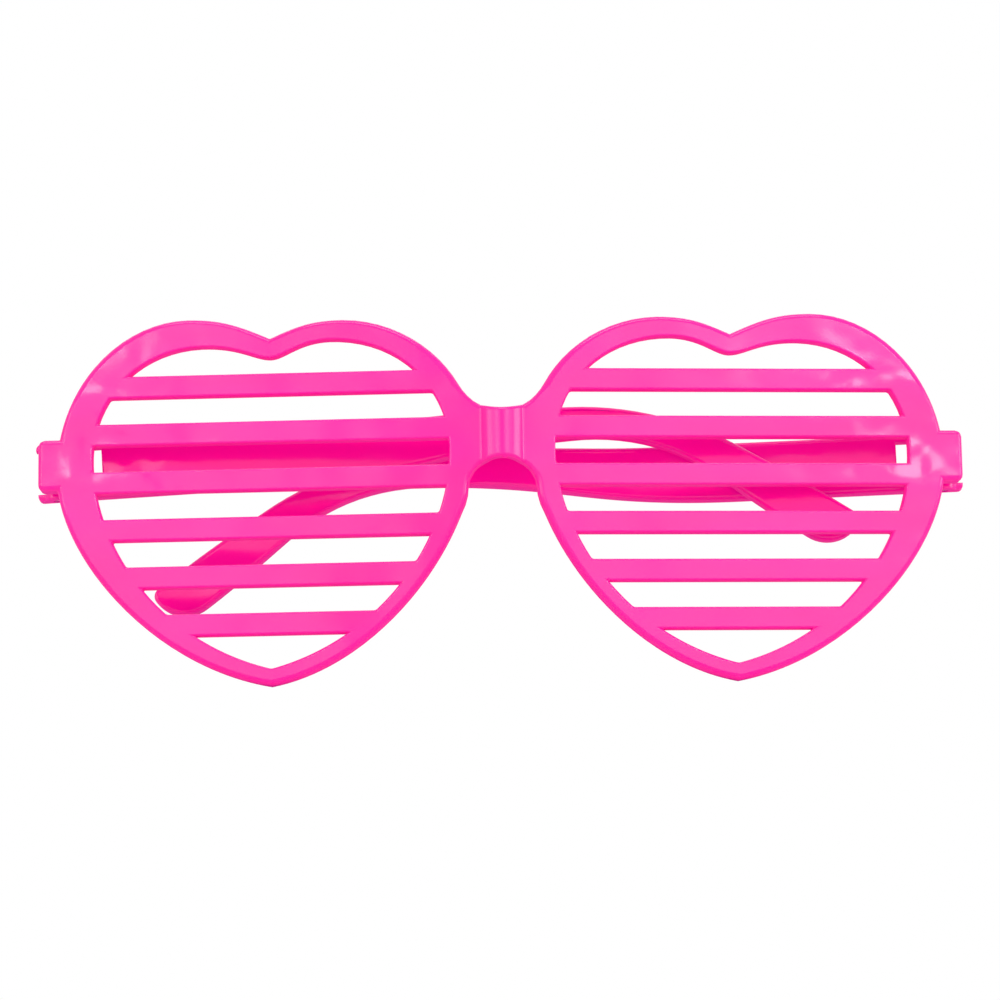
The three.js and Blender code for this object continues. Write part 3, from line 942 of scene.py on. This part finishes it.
for side in (-1, 1):
    heel = [face for face in bar.faces if all(in_heel(vert, side) for vert in face.verts)]
    bmesh.ops.dissolve_faces(bar, faces=heel)
inside_heel = (TOUCH, FORK_CORNER - TOUCH)
spare = [v for v in bar.verts if v[at_window] and inside_heel[0] < v[along_bar] < inside_heel[1]]
bmesh.ops.dissolve_verts(bar, verts=spare)
print("flat bar of", len(bar.faces), "faces")

# %% [markdown]
# Extruding the outline gives the bar its thickness. From the ear on it bends towards the head, a little
# more with every step, which a square law does well. Only the long edges get a fillet, fine in the window
# and round elsewhere: on the short edges across the bar the outline is already round.

# %% Thickness, bend and fillets
TEMPLE_THICKNESS = 0.003
INWARD_START = 0.08
INWARD_OFFSET = 0.0025
TEMPLE_FILLET = 0.0008
WINDOW_FILLET = 0.00025
ACROSS = 0.9
inner_side = new_verts(bmesh.ops.extrude_face_region(bar, geom=bar.faces[:]))
bmesh.ops.translate(bar, verts=inner_side, vec=(0, -TEMPLE_THICKNESS, 0))
for vert in bar.verts:
    bent = max(0.0, vert[along_bar] - INWARD_START) / (temple_length - INWARD_START)
    vert.co.y -= INWARD_OFFSET * bent**2
bmesh.ops.recalc_face_normals(bar, faces=bar.faces)

bar_weight = bar.edges.layers.float.new("bevel_weight_edge")
for edge in bar.edges:
    a, b = edge.verts
    if abs((b.co - a.co).normalized().y) > ACROSS or edge.calc_face_angle(0.0) < SHARP_TURN:
        continue
    on_window = a[at_window] and b[at_window] and max(a[along_bar], b[along_bar]) > FORK_CORNER / 2
    edge[bar_weight] = WINDOW_FILLET / TEMPLE_FILLET if on_window else 1.0
print("bar of", len(bar.faces), "faces with", open_edges(bar), "open edges")

# %% [markdown]
# The fillets are settled into the mesh straight away, because the knuckles have to be joined to a bar
# that is already round.


# %% Settle the bar
def settle(piece):
    depsgraph = bpy.context.evaluated_depsgraph_get()
    mesh = bpy.data.meshes.new_from_object(piece.evaluated_get(depsgraph))
    piece.modifiers.clear()
    old = piece.data
    piece.data = mesh
    bpy.data.meshes.remove(old)


temple = place_piece("temple", finished_mesh("temple", bar))
add_fillets(temple, TEMPLE_FILLET)
settle(temple)
print("bar of", len(temple.data.polygons), "faces with its fillets")

# %% [markdown]
# ## Knuckles
# Each arm of the fork ends in a round knuckle for the pin. A knuckle is a short cylinder with rounded
# rims. It is cut off inside the arm, so that it swells out on the inner side only, and the cut is closed
# with a face, because a Boolean needs a shape without openings.

# %% Two knuckles
ROUND_RIM = {"segments": 3, "profile": ROUND_PROFILE, "affect": "EDGES", "material": -1}


def upright_bar(radius, low, high, fillet):
    bm = bmesh.new()
    radii = {"radius1": radius, "radius2": radius}
    bmesh.ops.create_cone(bm, cap_ends=True, segments=2 * ROUND_STEPS, depth=high - low, **radii)
    bmesh.ops.translate(bm, verts=bm.verts, vec=(0, 0, (low + high) / 2))
    if fillet:
        rims = [edge for edge in bm.edges if edge.calc_face_angle() > SHARP_TURN]
        bmesh.ops.bevel(bm, geom=rims, offset=fillet, **ROUND_RIM)
    return bm


KNUCKLE_SINK = 0.00003
KNUCKLE_FILLET = 0.00025
KNUCKLE_CUT = 0.0004
outside = FORK_HEIGHT / 2 - KNUCKLE_SINK
inside = WINDOW_HEIGHT / 2 + KNUCKLE_SINK
knuckles = []
for low, high in ((inside, outside), (-outside, -inside)):
    knuckle = upright_bar(KNUCKLE_RADIUS, low, high, KNUCKLE_FILLET)
    everything = knuckle.verts[:] + knuckle.edges[:] + knuckle.faces[:]
    cut = bmesh.ops.bisect_plane(
        knuckle, geom=everything, plane_co=(0, KNUCKLE_CUT, 0), plane_no=(0, 1, 0), clear_outer=True
    )
    rim = [item for item in cut["geom_cut"] if isinstance(item, bmesh.types.BMEdge)]
    bmesh.ops.contextual_create(knuckle, geom=rim)
    bmesh.ops.recalc_face_normals(knuckle, faces=knuckle.faces)
    knuckles.append(knuckle)
print(len(knuckles), "knuckles of", [len(knuckle.faces) for knuckle in knuckles], "faces")

# %% [markdown]
# The knuckles are joined to the bar with a Boolean, and the pin's hole is cut through both with another.
# Here Booleans are the short way: the shapes cross at odd angles, and the real mould was cut in the same
# way, by a round tool.


# %% Join and cut
def combine(piece, bm, operation):
    tool = place_piece("tool", finished_mesh("tool", bm))
    step = piece.modifiers.new(operation, "BOOLEAN")
    step.operation = operation
    step.solver = "EXACT"
    step.object = tool
    settle(piece)
    bpy.data.objects.remove(tool)


for knuckle in knuckles:
    combine(temple, knuckle, "UNION")

PIN_RADIUS = 0.00075
HOLE_PLAY = 0.00003
combine(temple, upright_bar(PIN_RADIUS + HOLE_PLAY, -FORK_HEIGHT, FORK_HEIGHT, 0), "DIFFERENCE")
print("temple of", len(temple.data.polygons), "faces")

# %% [markdown]
# ## Right and left
# Both temples have the same shape, so the finished one is copied, and mirrored for the left. Each copy is
# set on its pin as the glasses lie folded: the right one first, flat behind the front, and the left one
# over it, turned a little further out. Both droop slightly in their loose hinges. The place goes into the
# mesh, and the object stays at the origin, where the frame expects it. A mirrored mesh is inside out, so
# its faces are flipped.

# %% Set on the pins
SOFT_TURN = math.radians(32)
LARGE_FACES_FIRST = 100
RIGHT = {"side": -1, "tilt": math.radians(3.15), "fold": 0.0}
LEFT = {"side": 1, "tilt": math.radians(1.25), "fold": math.radians(4.052)}
pin_x, pin_y = on_front(pin_along, PIN_BEHIND)


def hang(name, mesh, side, tilt, fold):
    piece = place_piece(name, mesh.copy())
    piece.data.set_sharp_from_angle(angle=SOFT_TURN)
    place = Matrix.Translation((side * pin_x, pin_y, HINGE_Z))
    place = place @ Matrix.Rotation(-tilt, 4, "Y") @ Matrix.Rotation(-side * fold, 4, "Z")
    piece.data.transform(place @ Matrix.Scale(-side, 4, (1, 0, 0)))
    if side > 0:
        piece.data.flip_normals()
    even = piece.modifiers.new("even_normals", "WEIGHTED_NORMAL")
    even.keep_sharp = True
    even.weight = LARGE_FACES_FIRST
    return piece


temple.data.shade_smooth()
right_moulding = hang("right_temple_moulding", temple.data, **RIGHT)
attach(right_moulding, "right_temple")
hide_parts("right_temple")
left_moulding = hang("left_temple_moulding", temple.data, **LEFT)
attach(left_moulding, "left_temple")
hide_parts("left_temple")
bpy.data.objects.remove(temple)
print("temples turn at", round(pin_x, 5), "m beside the nose and", round(pin_y, 5), "m behind it")

# %% [markdown]
# ## Hinge pins
# A pin is a short piece of steel wire, pressed into the arms of the fork. It was cut to length and
# tumbled, so its ends are slightly domed and its rims are rounded. A capped cone of equal radii is the
# wire, its rims are bevelled, and each cap is inset twice and pushed out a little each time.

# %% The pins
PIN_RECESS = 0.0002
PIN_CHAMFER = 0.00014
PIN_DOME = 0.00006
DOME_STEPS = ((0.3, -0.2), (0.2, -1.0))
LOOKS_ALONG = 0.99
pin_half = FORK_HEIGHT / 2 - PIN_RECESS
wire = upright_bar(PIN_RADIUS, -pin_half, pin_half, PIN_CHAMFER)
for cap in [face for face in wire.faces if abs(face.normal.z) > LOOKS_ALONG]:
    dome = math.copysign(PIN_DOME, cap.normal.z)
    for inset, push in DOME_STEPS:
        bmesh.ops.inset_region(wire, faces=[cap], thickness=PIN_RADIUS * inset)
        bmesh.ops.translate(wire, verts=cap.verts, vec=(0, 0, dome * push))
pin_mesh = finished_mesh("pin_wire", wire)
right_pin = hang("right_pin_wire", pin_mesh, **RIGHT)
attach(right_pin, "right_temple")
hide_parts("right_hinge_pin")
left_pin = hang("left_pin_wire", pin_mesh, **LEFT)
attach(left_pin, "left_temple")
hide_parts("left_hinge_pin")
bpy.data.meshes.remove(pin_mesh)
print("pins of", len(right_pin.data.polygons), "faces each")

# %% [markdown]
# ## Unevenness
# No real surface is the same all over: pigment lies in streaks, handling dulls some places, steel
# tarnishes in spots. All of these are a noise that is cut to a range, only at different scales and
# stretched in different directions. So it is one node group, built once, and each finish places it with
# its own values. It reads the object's own coordinates, so the pattern stays on the piece when the piece
# moves.

# %% The mottle group
mottle_group = bpy.data.node_groups.new("mottle", "ShaderNodeTree")
sockets = mottle_group.interface
sockets.new_socket("Vector", in_out="INPUT", socket_type="NodeSocketVector")
sockets.new_socket("Stretch", in_out="INPUT", socket_type="NodeSocketVector")
MOTTLE_INPUTS = ("Scale", "Detail", "From Low", "From High", "To Low", "To High")
for title in MOTTLE_INPUTS:
    sockets.new_socket(title, in_out="INPUT", socket_type="NodeSocketFloat")
sockets.new_socket("Value", in_out="OUTPUT", socket_type="NodeSocketFloat")
source = mottle_group.nodes.new("NodeGroupInput")
stretched = mottle_group.nodes.new("ShaderNodeMapping")
noise = mottle_group.nodes.new("ShaderNodeTexNoise")
cut_to_range = mottle_group.nodes.new("ShaderNodeMapRange")
cut_to_range.interpolation_type = "SMOOTHSTEP"
target = mottle_group.nodes.new("NodeGroupOutput")
for given, taken in (
    (source.outputs["Vector"], stretched.inputs["Vector"]),
    (source.outputs["Stretch"], stretched.inputs["Scale"]),
    (stretched.outputs["Vector"], noise.inputs["Vector"]),
    (source.outputs["Scale"], noise.inputs["Scale"]),
    (source.outputs["Detail"], noise.inputs["Detail"]),
    (noise.outputs["Fac"], cut_to_range.inputs["Value"]),
    (source.outputs["From Low"], cut_to_range.inputs["From Min"]),
    (source.outputs["From High"], cut_to_range.inputs["From Max"]),
    (source.outputs["To Low"], cut_to_range.inputs["To Min"]),
    (source.outputs["To High"], cut_to_range.inputs["To Max"]),
    (cut_to_range.outputs["Result"], target.inputs["Value"]),
):
    mottle_group.links.new(given, taken)
print("group", mottle_group.name, "with", len(mottle_group.links), "links")

# %% [markdown]
# ## A material to start from
# The mouldings and the pins are two plain stuffs, a plastic and a steel, and a new material's Principled
# BSDF can be either. So both start in the same way. The helper hands back what the next steps need: the
# material, its tree of nodes, the inputs of its shader, and the coordinates that patterns are laid on.


# %% Start the plastic
def new_look(name):
    look = bpy.data.materials.new(name)
    look.use_nodes = True
    nodes = look.node_tree.nodes
    shader = nodes["Principled BSDF"].inputs
    return look, look.node_tree, shader, nodes.new("ShaderNodeTexCoord").outputs


plastic_look, plastic, shader, place = new_look("pink_plastic")
print(plastic_look.name, "starts with", len(plastic.nodes), "nodes")

# %% [markdown]
# ## Pink plastic: colour and painted glow
# The plastic is dyed through in a neon pink, and the pigment lies in faint streaks along the flow. A neon
# pigment also turns some of the light that falls on it into more pink. A path tracer doesn't do that by
# itself, so a weak emission stands in for it. The emission is partly painted light: it glows the same in
# the dark, and it lifts the shaded parts, such as the temples behind the front, to a brighter, bluer pink.
# The helpers each add one node, set it and return the socket that comes out of it.


# %% Pigment
def mottle(tree, place, scale, detail, cut, to=(0.0, 1.0), stretch=(1, 1, 1)):
    node = tree.nodes.new("ShaderNodeGroup")
    node.node_tree = mottle_group
    node.inputs["Stretch"].default_value = stretch
    for title, value in zip(MOTTLE_INPUTS, (scale, detail, *cut, *to)):
        node.inputs[title].default_value = value
    tree.links.new(place["Object"], node.inputs["Vector"])
    return node.outputs["Value"]


def between(tree, mask, first, second):
    node = tree.nodes.new("ShaderNodeMix")
    node.data_type = "RGBA"
    node.inputs["A"].default_value = first
    node.inputs["B"].default_value = second
    tree.links.new(mask, node.inputs["Factor"])
    return node.outputs["Result"]


PINK = (0.97, 0.003, 0.225, 1)
DEEP_PINK = (0.95, 0.002, 0.19, 1)
NEON_PAINTED_GLOW = (0.36, 0.0, 1.0, 1)
PAINTED_GLOW_STRENGTH = 0.12
STREAKS = {"scale": 26.0, "detail": 4.0, "cut": (0.3, 0.72), "stretch": (1.0, 1.0, 3.2)}
streaks = mottle(plastic, place, **STREAKS)
plastic.links.new(between(plastic, streaks, PINK, DEEP_PINK), shader["Base Color"])
# Painted light: a constant pink-violet glow that brightens the shaded parts of the plastic.
shader["Emission Color"].default_value = NEON_PAINTED_GLOW
shader["Emission Strength"].default_value = PAINTED_GLOW_STRENGTH
print("pink", PINK[:3], "streaked with", DEEP_PINK[:3])

# %% [markdown]
# ## Pink plastic: gloss
# The faces came out of a polished mould and shine. Handling has dulled them in patches and left hairline
# scratches, which are the same noise again, drawn out to sixty times its width. Both are shares of
# roughness that will be added up.

# %% Polish and scratches
FACE_GLOSS = (0.11, 0.2)
SCRATCHED = (0.0, 0.06)
RUBBED = {"scale": 140.0, "detail": 3.0, "cut": (0.35, 0.8)}
HAIRLINES = {"scale": 34.0, "detail": 2.0, "cut": (0.66, 0.72), "stretch": (1.0, 1.0, 60.0)}
rubbed = mottle(plastic, place, to=FACE_GLOSS, **RUBBED)
scratches = mottle(plastic, place, to=SCRATCHED, **HAIRLINES)
print("roughness of the faces", FACE_GLOSS, "and of a scratch", SCRATCHED[1], "more")

# %% [markdown]
# The walls of the slots and the edges slid along the steel when the moulding was pushed out, so they are
# matt. A second material on these faces would leave a hard border. Here the normal in the object's own
# frame tells walls from faces, with a soft passage between them: only faces look forwards or backwards.


# %% Matt walls
def ranged(tree, value, cut, to):
    node = tree.nodes.new("ShaderNodeMapRange")
    node.interpolation_type = "SMOOTHSTEP"
    for title, number in zip(("From Min", "From Max", "To Min", "To Max"), (*cut, *to)):
        node.inputs[title].default_value = number
    tree.links.new(value, node.inputs["Value"])
    return node.outputs["Result"]


def absolute(tree, value):
    node = tree.nodes.new("ShaderNodeMath")
    node.operation = "ABSOLUTE"
    tree.links.new(value, node.inputs[0])
    return node.outputs["Value"]


MATT_WALLS = (0.74, 0.0)
WALL_TO_FACE = (0.15, 0.6)
facing = plastic.nodes.new("ShaderNodeSeparateXYZ")
plastic.links.new(place["Normal"], facing.inputs["Vector"])
forwards = absolute(plastic, facing.outputs["Y"])
walls = ranged(plastic, forwards, cut=WALL_TO_FACE, to=MATT_WALLS)
print("the walls are rougher by", MATT_WALLS[0])

# %% [markdown]
# The narrow groove of the bridge was the hardest part of the mould to polish, so its shine is softer. How
# far a place is from the bridge's middle says how much. With this last share the roughness is complete.
# How strongly the plastic reflects is the same everywhere, so it is set on the shader itself.


# %% Hazy bridge
def joined(tree, operation, first, *others):
    for other in others:
        node = tree.nodes.new("ShaderNodeMath")
        node.operation = operation
        tree.links.new(first, node.inputs[0])
        tree.links.new(other, node.inputs[1])
        first = node.outputs["Value"]
    return first


def distance_to(tree, place, point):
    node = tree.nodes.new("ShaderNodeVectorMath")
    node.operation = "DISTANCE"
    node.inputs[1].default_value = point
    tree.links.new(place, node.inputs[0])
    return node.outputs["Value"]


BRIDGE_MIDDLE = (0.0, -0.001, 0.0042)
BRIDGE_REACH = (0.0045, 0.0075)
BRIDGE_HAZE = (0.1, 0.0)
PLASTIC_IOR = 1.5
PLASTIC_SPECULAR = 0.4
from_bridge = distance_to(plastic, place["Object"], BRIDGE_MIDDLE)
haze = ranged(plastic, from_bridge, cut=BRIDGE_REACH, to=BRIDGE_HAZE)
plastic.links.new(joined(plastic, "ADD", rubbed, scratches, walls, haze), shader["Roughness"])
shader["Specular IOR Level"].default_value = PLASTIC_SPECULAR
shader["IOR"].default_value = PLASTIC_IOR
print("the bridge is rougher by", BRIDGE_HAZE[0])

# %% [markdown]
# ## Pink plastic: sink marks
# Where the thick lugs stand behind the face, the plastic shrank more as it cooled, and the face sinks in
# and ripples. That is far too shallow to be modelled, but it shows in the reflections. One place is
# enough for both lugs, because the distance is measured with the absolute of X.

# %% Near the lugs
SINK_PLACE = (0.069, 0.005, 0.0048)
SINK_REACH = 0.0085
SINK_DEPTH = -2.6
SWIRL_REACH = 0.034
SWIRL_HEIGHT = 1.3
apart = plastic.nodes.new("ShaderNodeSeparateXYZ")
plastic.links.new(place["Object"], apart.inputs["Vector"])
either_side = plastic.nodes.new("ShaderNodeCombineXYZ")
plastic.links.new(absolute(plastic, apart.outputs["X"]), either_side.inputs["X"])
plastic.links.new(apart.outputs["Y"], either_side.inputs["Y"])
plastic.links.new(apart.outputs["Z"], either_side.inputs["Z"])
from_lug = distance_to(plastic, either_side.outputs["Vector"], SINK_PLACE)
sunk = ranged(plastic, from_lug, cut=(0.0, SINK_REACH), to=(SINK_DEPTH, 0.0))
near_lug = ranged(plastic, from_lug, cut=(0.0, SWIRL_REACH), to=(SWIRL_HEIGHT, 0.0))
print("the face sinks within", SINK_REACH, "m and ripples within", SWIRL_REACH, "m")

# %% [markdown]
# ## Pink plastic: skin
# A moulding is never quite flat. It shrinks unevenly, so its reflections waver, and its skin has a very
# fine peel. With the sinks, and with the ripples that show as pale swirls beside each end block, these
# are one height. Displacing the mesh by it would need very many faces. A Bump node only tilts the normals
# and is enough here, because no outline changes. Then the three mouldings get their material.


# %% Waves, peel and swirls
def add_bump(tree, shader, height, distance, strength):
    node = tree.nodes.new("ShaderNodeBump")
    node.inputs["Distance"].default_value = distance
    node.inputs["Strength"].default_value = strength
    tree.links.new(height, node.inputs["Height"])
    tree.links.new(node.outputs["Normal"], shader["Normal"])


PEEL_SHARE = 0.012
WAVE_HEIGHT = 0.00025
SKIN_STRENGTH = 0.6
WAVES = {"scale": 62.0, "detail": 1.2, "cut": (0.25, 0.75)}
PEEL = {"scale": 900.0, "detail": 2.0, "cut": (0.2, 0.8)}
RIPPLES = {"scale": 130.0, "detail": 1.0, "cut": (0.3, 0.7)}
waves = mottle(plastic, place, **WAVES)
peel = mottle(plastic, place, to=(0.0, PEEL_SHARE), **PEEL)
swirls = joined(plastic, "MULTIPLY", mottle(plastic, place, **RIPPLES), near_lug)
uneven = joined(plastic, "ADD", waves, peel, sunk, swirls)
add_bump(plastic, shader, uneven, distance=WAVE_HEIGHT, strength=SKIN_STRENGTH)
for piece in (front_moulding, right_moulding, left_moulding):
    piece.data.materials.append(plastic_look)
print(plastic_look.name, "has", len(plastic.nodes), "nodes")

# %% [markdown]
# ## Pin steel
# Drawn wire carries fine lines along its length and tarnishes in spots. Only the ends of the pins show,
# but a bright or a flat grey disc would catch the eye there. The mottle group gives both: round spots for
# the tarnish, and for the lines the noise drawn out along the wire.

# %% Drawn wire
STEEL = (0.56, 0.57, 0.58, 1)
DARK_STEEL = (0.38, 0.385, 0.39, 1)
STEEL_GLOSS = (0.24, 0.42)
LINE_DEPTH = 0.00001
LINE_STRENGTH = 0.5
ALL_METAL = 1.0
TARNISH = {"scale": 700.0, "detail": 3.0, "cut": (0.4, 0.75)}
LINES = {"scale": 2600.0, "detail": 3.0, "cut": (0.3, 0.7), "stretch": (1.0, 1.0, 0.02)}
steel_look, steel, shader, place = new_look("pin_steel")
tarnish = mottle(steel, place, **TARNISH)
steel.links.new(between(steel, tarnish, STEEL, DARK_STEEL), shader["Base Color"])
steel.links.new(mottle(steel, place, to=STEEL_GLOSS, **LINES), shader["Roughness"])
lines = mottle(steel, place, **LINES)
add_bump(steel, shader, lines, distance=LINE_DEPTH, strength=LINE_STRENGTH)
shader["Metallic"].default_value = ALL_METAL
for piece in (right_pin, left_pin):
    piece.data.materials.append(steel_look)
print(steel_look.name, "has", len(steel.nodes), "nodes")

# %% [markdown]
# ## Camera
# The photograph was taken from the front and slightly below, from a short distance away: the far temples
# look a little smaller than the near ones. The distance therefore counts as well as the direction, and a
# long lens then fills the picture. The whole picture is turned by about a degree.


# %% Camera
def turned(azimuth, elevation):
    upright = Matrix.Rotation(math.radians(90) - elevation, 4, "X")
    return Matrix.Rotation(azimuth, 4, "Z") @ upright


VIEW_ELEVATION = math.radians(-10)
VIEW_AZIMUTH = math.radians(1.563)
VIEW_ROLL = math.radians(-0.95)
VIEW_DISTANCE = 0.62
VIEW_TARGET = Vector((-0.00055, 0.0, -0.007096))
SENSOR_WIDTH = 36.0
LENS = 134.28
NEAREST_SEEN = 0.01
camera_data = bpy.data.cameras.new("photo_camera")
camera_data.sensor_width = SENSOR_WIDTH
camera_data.lens = LENS
camera_data.clip_start = NEAREST_SEEN
camera = place_piece("photo_camera", camera_data)
turn = turned(-VIEW_AZIMUTH, VIEW_ELEVATION) @ Matrix.Rotation(VIEW_ROLL, 4, "Z")
forward = turn @ Vector((0, 0, -1))
camera.matrix_world = Matrix.Translation(VIEW_TARGET - forward * VIEW_DISTANCE) @ turn
bpy.context.scene.camera = camera
print("camera looks along", tuple(round(share, 3) for share in forward))

# %% [markdown]
# ## Floor
# The glasses rest on the tips of the hearts, on a plain pale floor that keeps their shadow. The camera
# looks up at them from below the floor's level. Leaving the floor out would take the shadow from every
# other view as well, so instead it is clear on its underside: Backfacing tells the two sides apart, and a
# Mix Shader chooses between them.


# %% Floor
def mixed(tree, factor, first, second):
    node = tree.nodes.new("ShaderNodeMixShader")
    for given, taken in zip((factor, first, second), node.inputs):
        tree.links.new(given, taken)
    return node.outputs["Shader"]


FLOOR_SIZE = 3.0
FLOOR_GAP = 0.0003
FLOOR_PAINT = (0.85, 0.85, 0.85, 1)
FLOOR_ROUGHNESS = 0.8
sheet_of_floor = bmesh.new()
bmesh.ops.create_grid(sheet_of_floor, x_segments=1, y_segments=1, size=FLOOR_SIZE / 2)
bmesh.ops.translate(sheet_of_floor, verts=sheet_of_floor.verts, vec=(0, 0, cad_low.z - FLOOR_GAP))
floor = place_piece("floor", finished_mesh("floor", sheet_of_floor))
floor_look = bpy.data.materials.new("pale_floor")
floor_look.use_nodes = True
tree = floor_look.node_tree
paint = tree.nodes["Principled BSDF"]
paint.inputs["Base Color"].default_value = FLOOR_PAINT
paint.inputs["Roughness"].default_value = FLOOR_ROUGHNESS
clear = tree.nodes.new("ShaderNodeBsdfTransparent")
from_below = tree.nodes.new("ShaderNodeNewGeometry").outputs["Backfacing"]
one_sided = mixed(tree, from_below, paint.outputs["BSDF"], clear.outputs["BSDF"])
tree.links.new(one_sided, tree.nodes["Material Output"].inputs["Surface"])
floor.data.materials.append(floor_look)
print("floor at height", round(cad_low.z - FLOOR_GAP, 5))

# %% [markdown]
# ## Background
# The backdrop is white where the camera, a reflection or a clear piece shows it, and gives a plain,
# weaker light to everything else. A large white wall would do the first but would also light the object
# as strongly as it looks, and overexpose it. In the world, Light Path tells the rays apart.

# %% World
SKY_LIGHT = 0.44
SHOWN_WHITE = 1.0
WHITE = (1, 1, 1, 1)
world = bpy.data.worlds.new("studio")
bpy.context.scene.world = world
world.use_nodes = True
tree = world.node_tree
sky = tree.nodes["Background"]
sky.inputs["Color"].default_value = WHITE
sky.inputs["Strength"].default_value = SKY_LIGHT
white = tree.nodes.new("ShaderNodeBackground")
white.inputs["Color"].default_value = WHITE
white.inputs["Strength"].default_value = SHOWN_WHITE
path = tree.nodes.new("ShaderNodeLightPath").outputs
rays = (path["Is Camera Ray"], path["Is Glossy Ray"], path["Is Transmission Ray"])
shown = joined(tree, "MAXIMUM", *rays)
backdrop = mixed(tree, shown, sky.outputs["Background"], white.outputs["Background"])
tree.links.new(backdrop, tree.nodes["World Output"].inputs["Surface"])
bpy.context.scene.view_settings.view_transform = "Standard"
print("sky lights with", SKY_LIGHT, "and shows white")

# %% [markdown]
# ## Lamps
# Soft boxes stand round the object on a sphere and look at it. Two broad ones in front are what the faces
# mirror, with a dark gap between them over the bridge. A slim bright one stands just above what a flat
# face mirrors, so it shows only where the skin is tilted, as the pale swirls. The side boxes draw the two
# light bands on the bridge's pipe, the top box lights the upper edges, and a weak one stands behind.
# Radiance says how bright a box looks, whatever its size, so a box can change its size without changing
# its reflection.

# %% Soft boxes
LAMP_DISTANCE = 1.2


def soft_box(name, azimuth, elevation, width, height, radiance):
    light = bpy.data.lights.new(name, "AREA")
    light.shape = "RECTANGLE"
    light.size = width
    light.size_y = height
    light.energy = radiance * math.pi * width * height
    lamp = place_piece(name, light)
    turn = turned(math.radians(azimuth), math.radians(elevation))
    lamp.matrix_world = turn @ Matrix.Translation((0, 0, LAMP_DISTANCE))
    print(name, "of", round(light.energy, 2), "W")


soft_box("left_front_box", azimuth=-26, elevation=11, width=0.76, height=0.5, radiance=1.5)
soft_box("right_front_box", azimuth=26, elevation=11, width=0.76, height=0.5, radiance=1.6)
soft_box("left_slim_box", azimuth=-22, elevation=17, width=0.22, height=0.11, radiance=9.0)
soft_box("right_slim_box", azimuth=22, elevation=17, width=0.22, height=0.11, radiance=10.0)
soft_box("left_side_box", azimuth=-55, elevation=11, width=0.42, height=0.5, radiance=3.4)
soft_box("right_side_box", azimuth=67, elevation=11, width=0.6, height=0.5, radiance=5.0)
soft_box("top_box", azimuth=0, elevation=66, width=0.8, height=0.5, radiance=3.5)
soft_box("rear_box", azimuth=180, elevation=40, width=0.9, height=0.9, radiance=1.2)
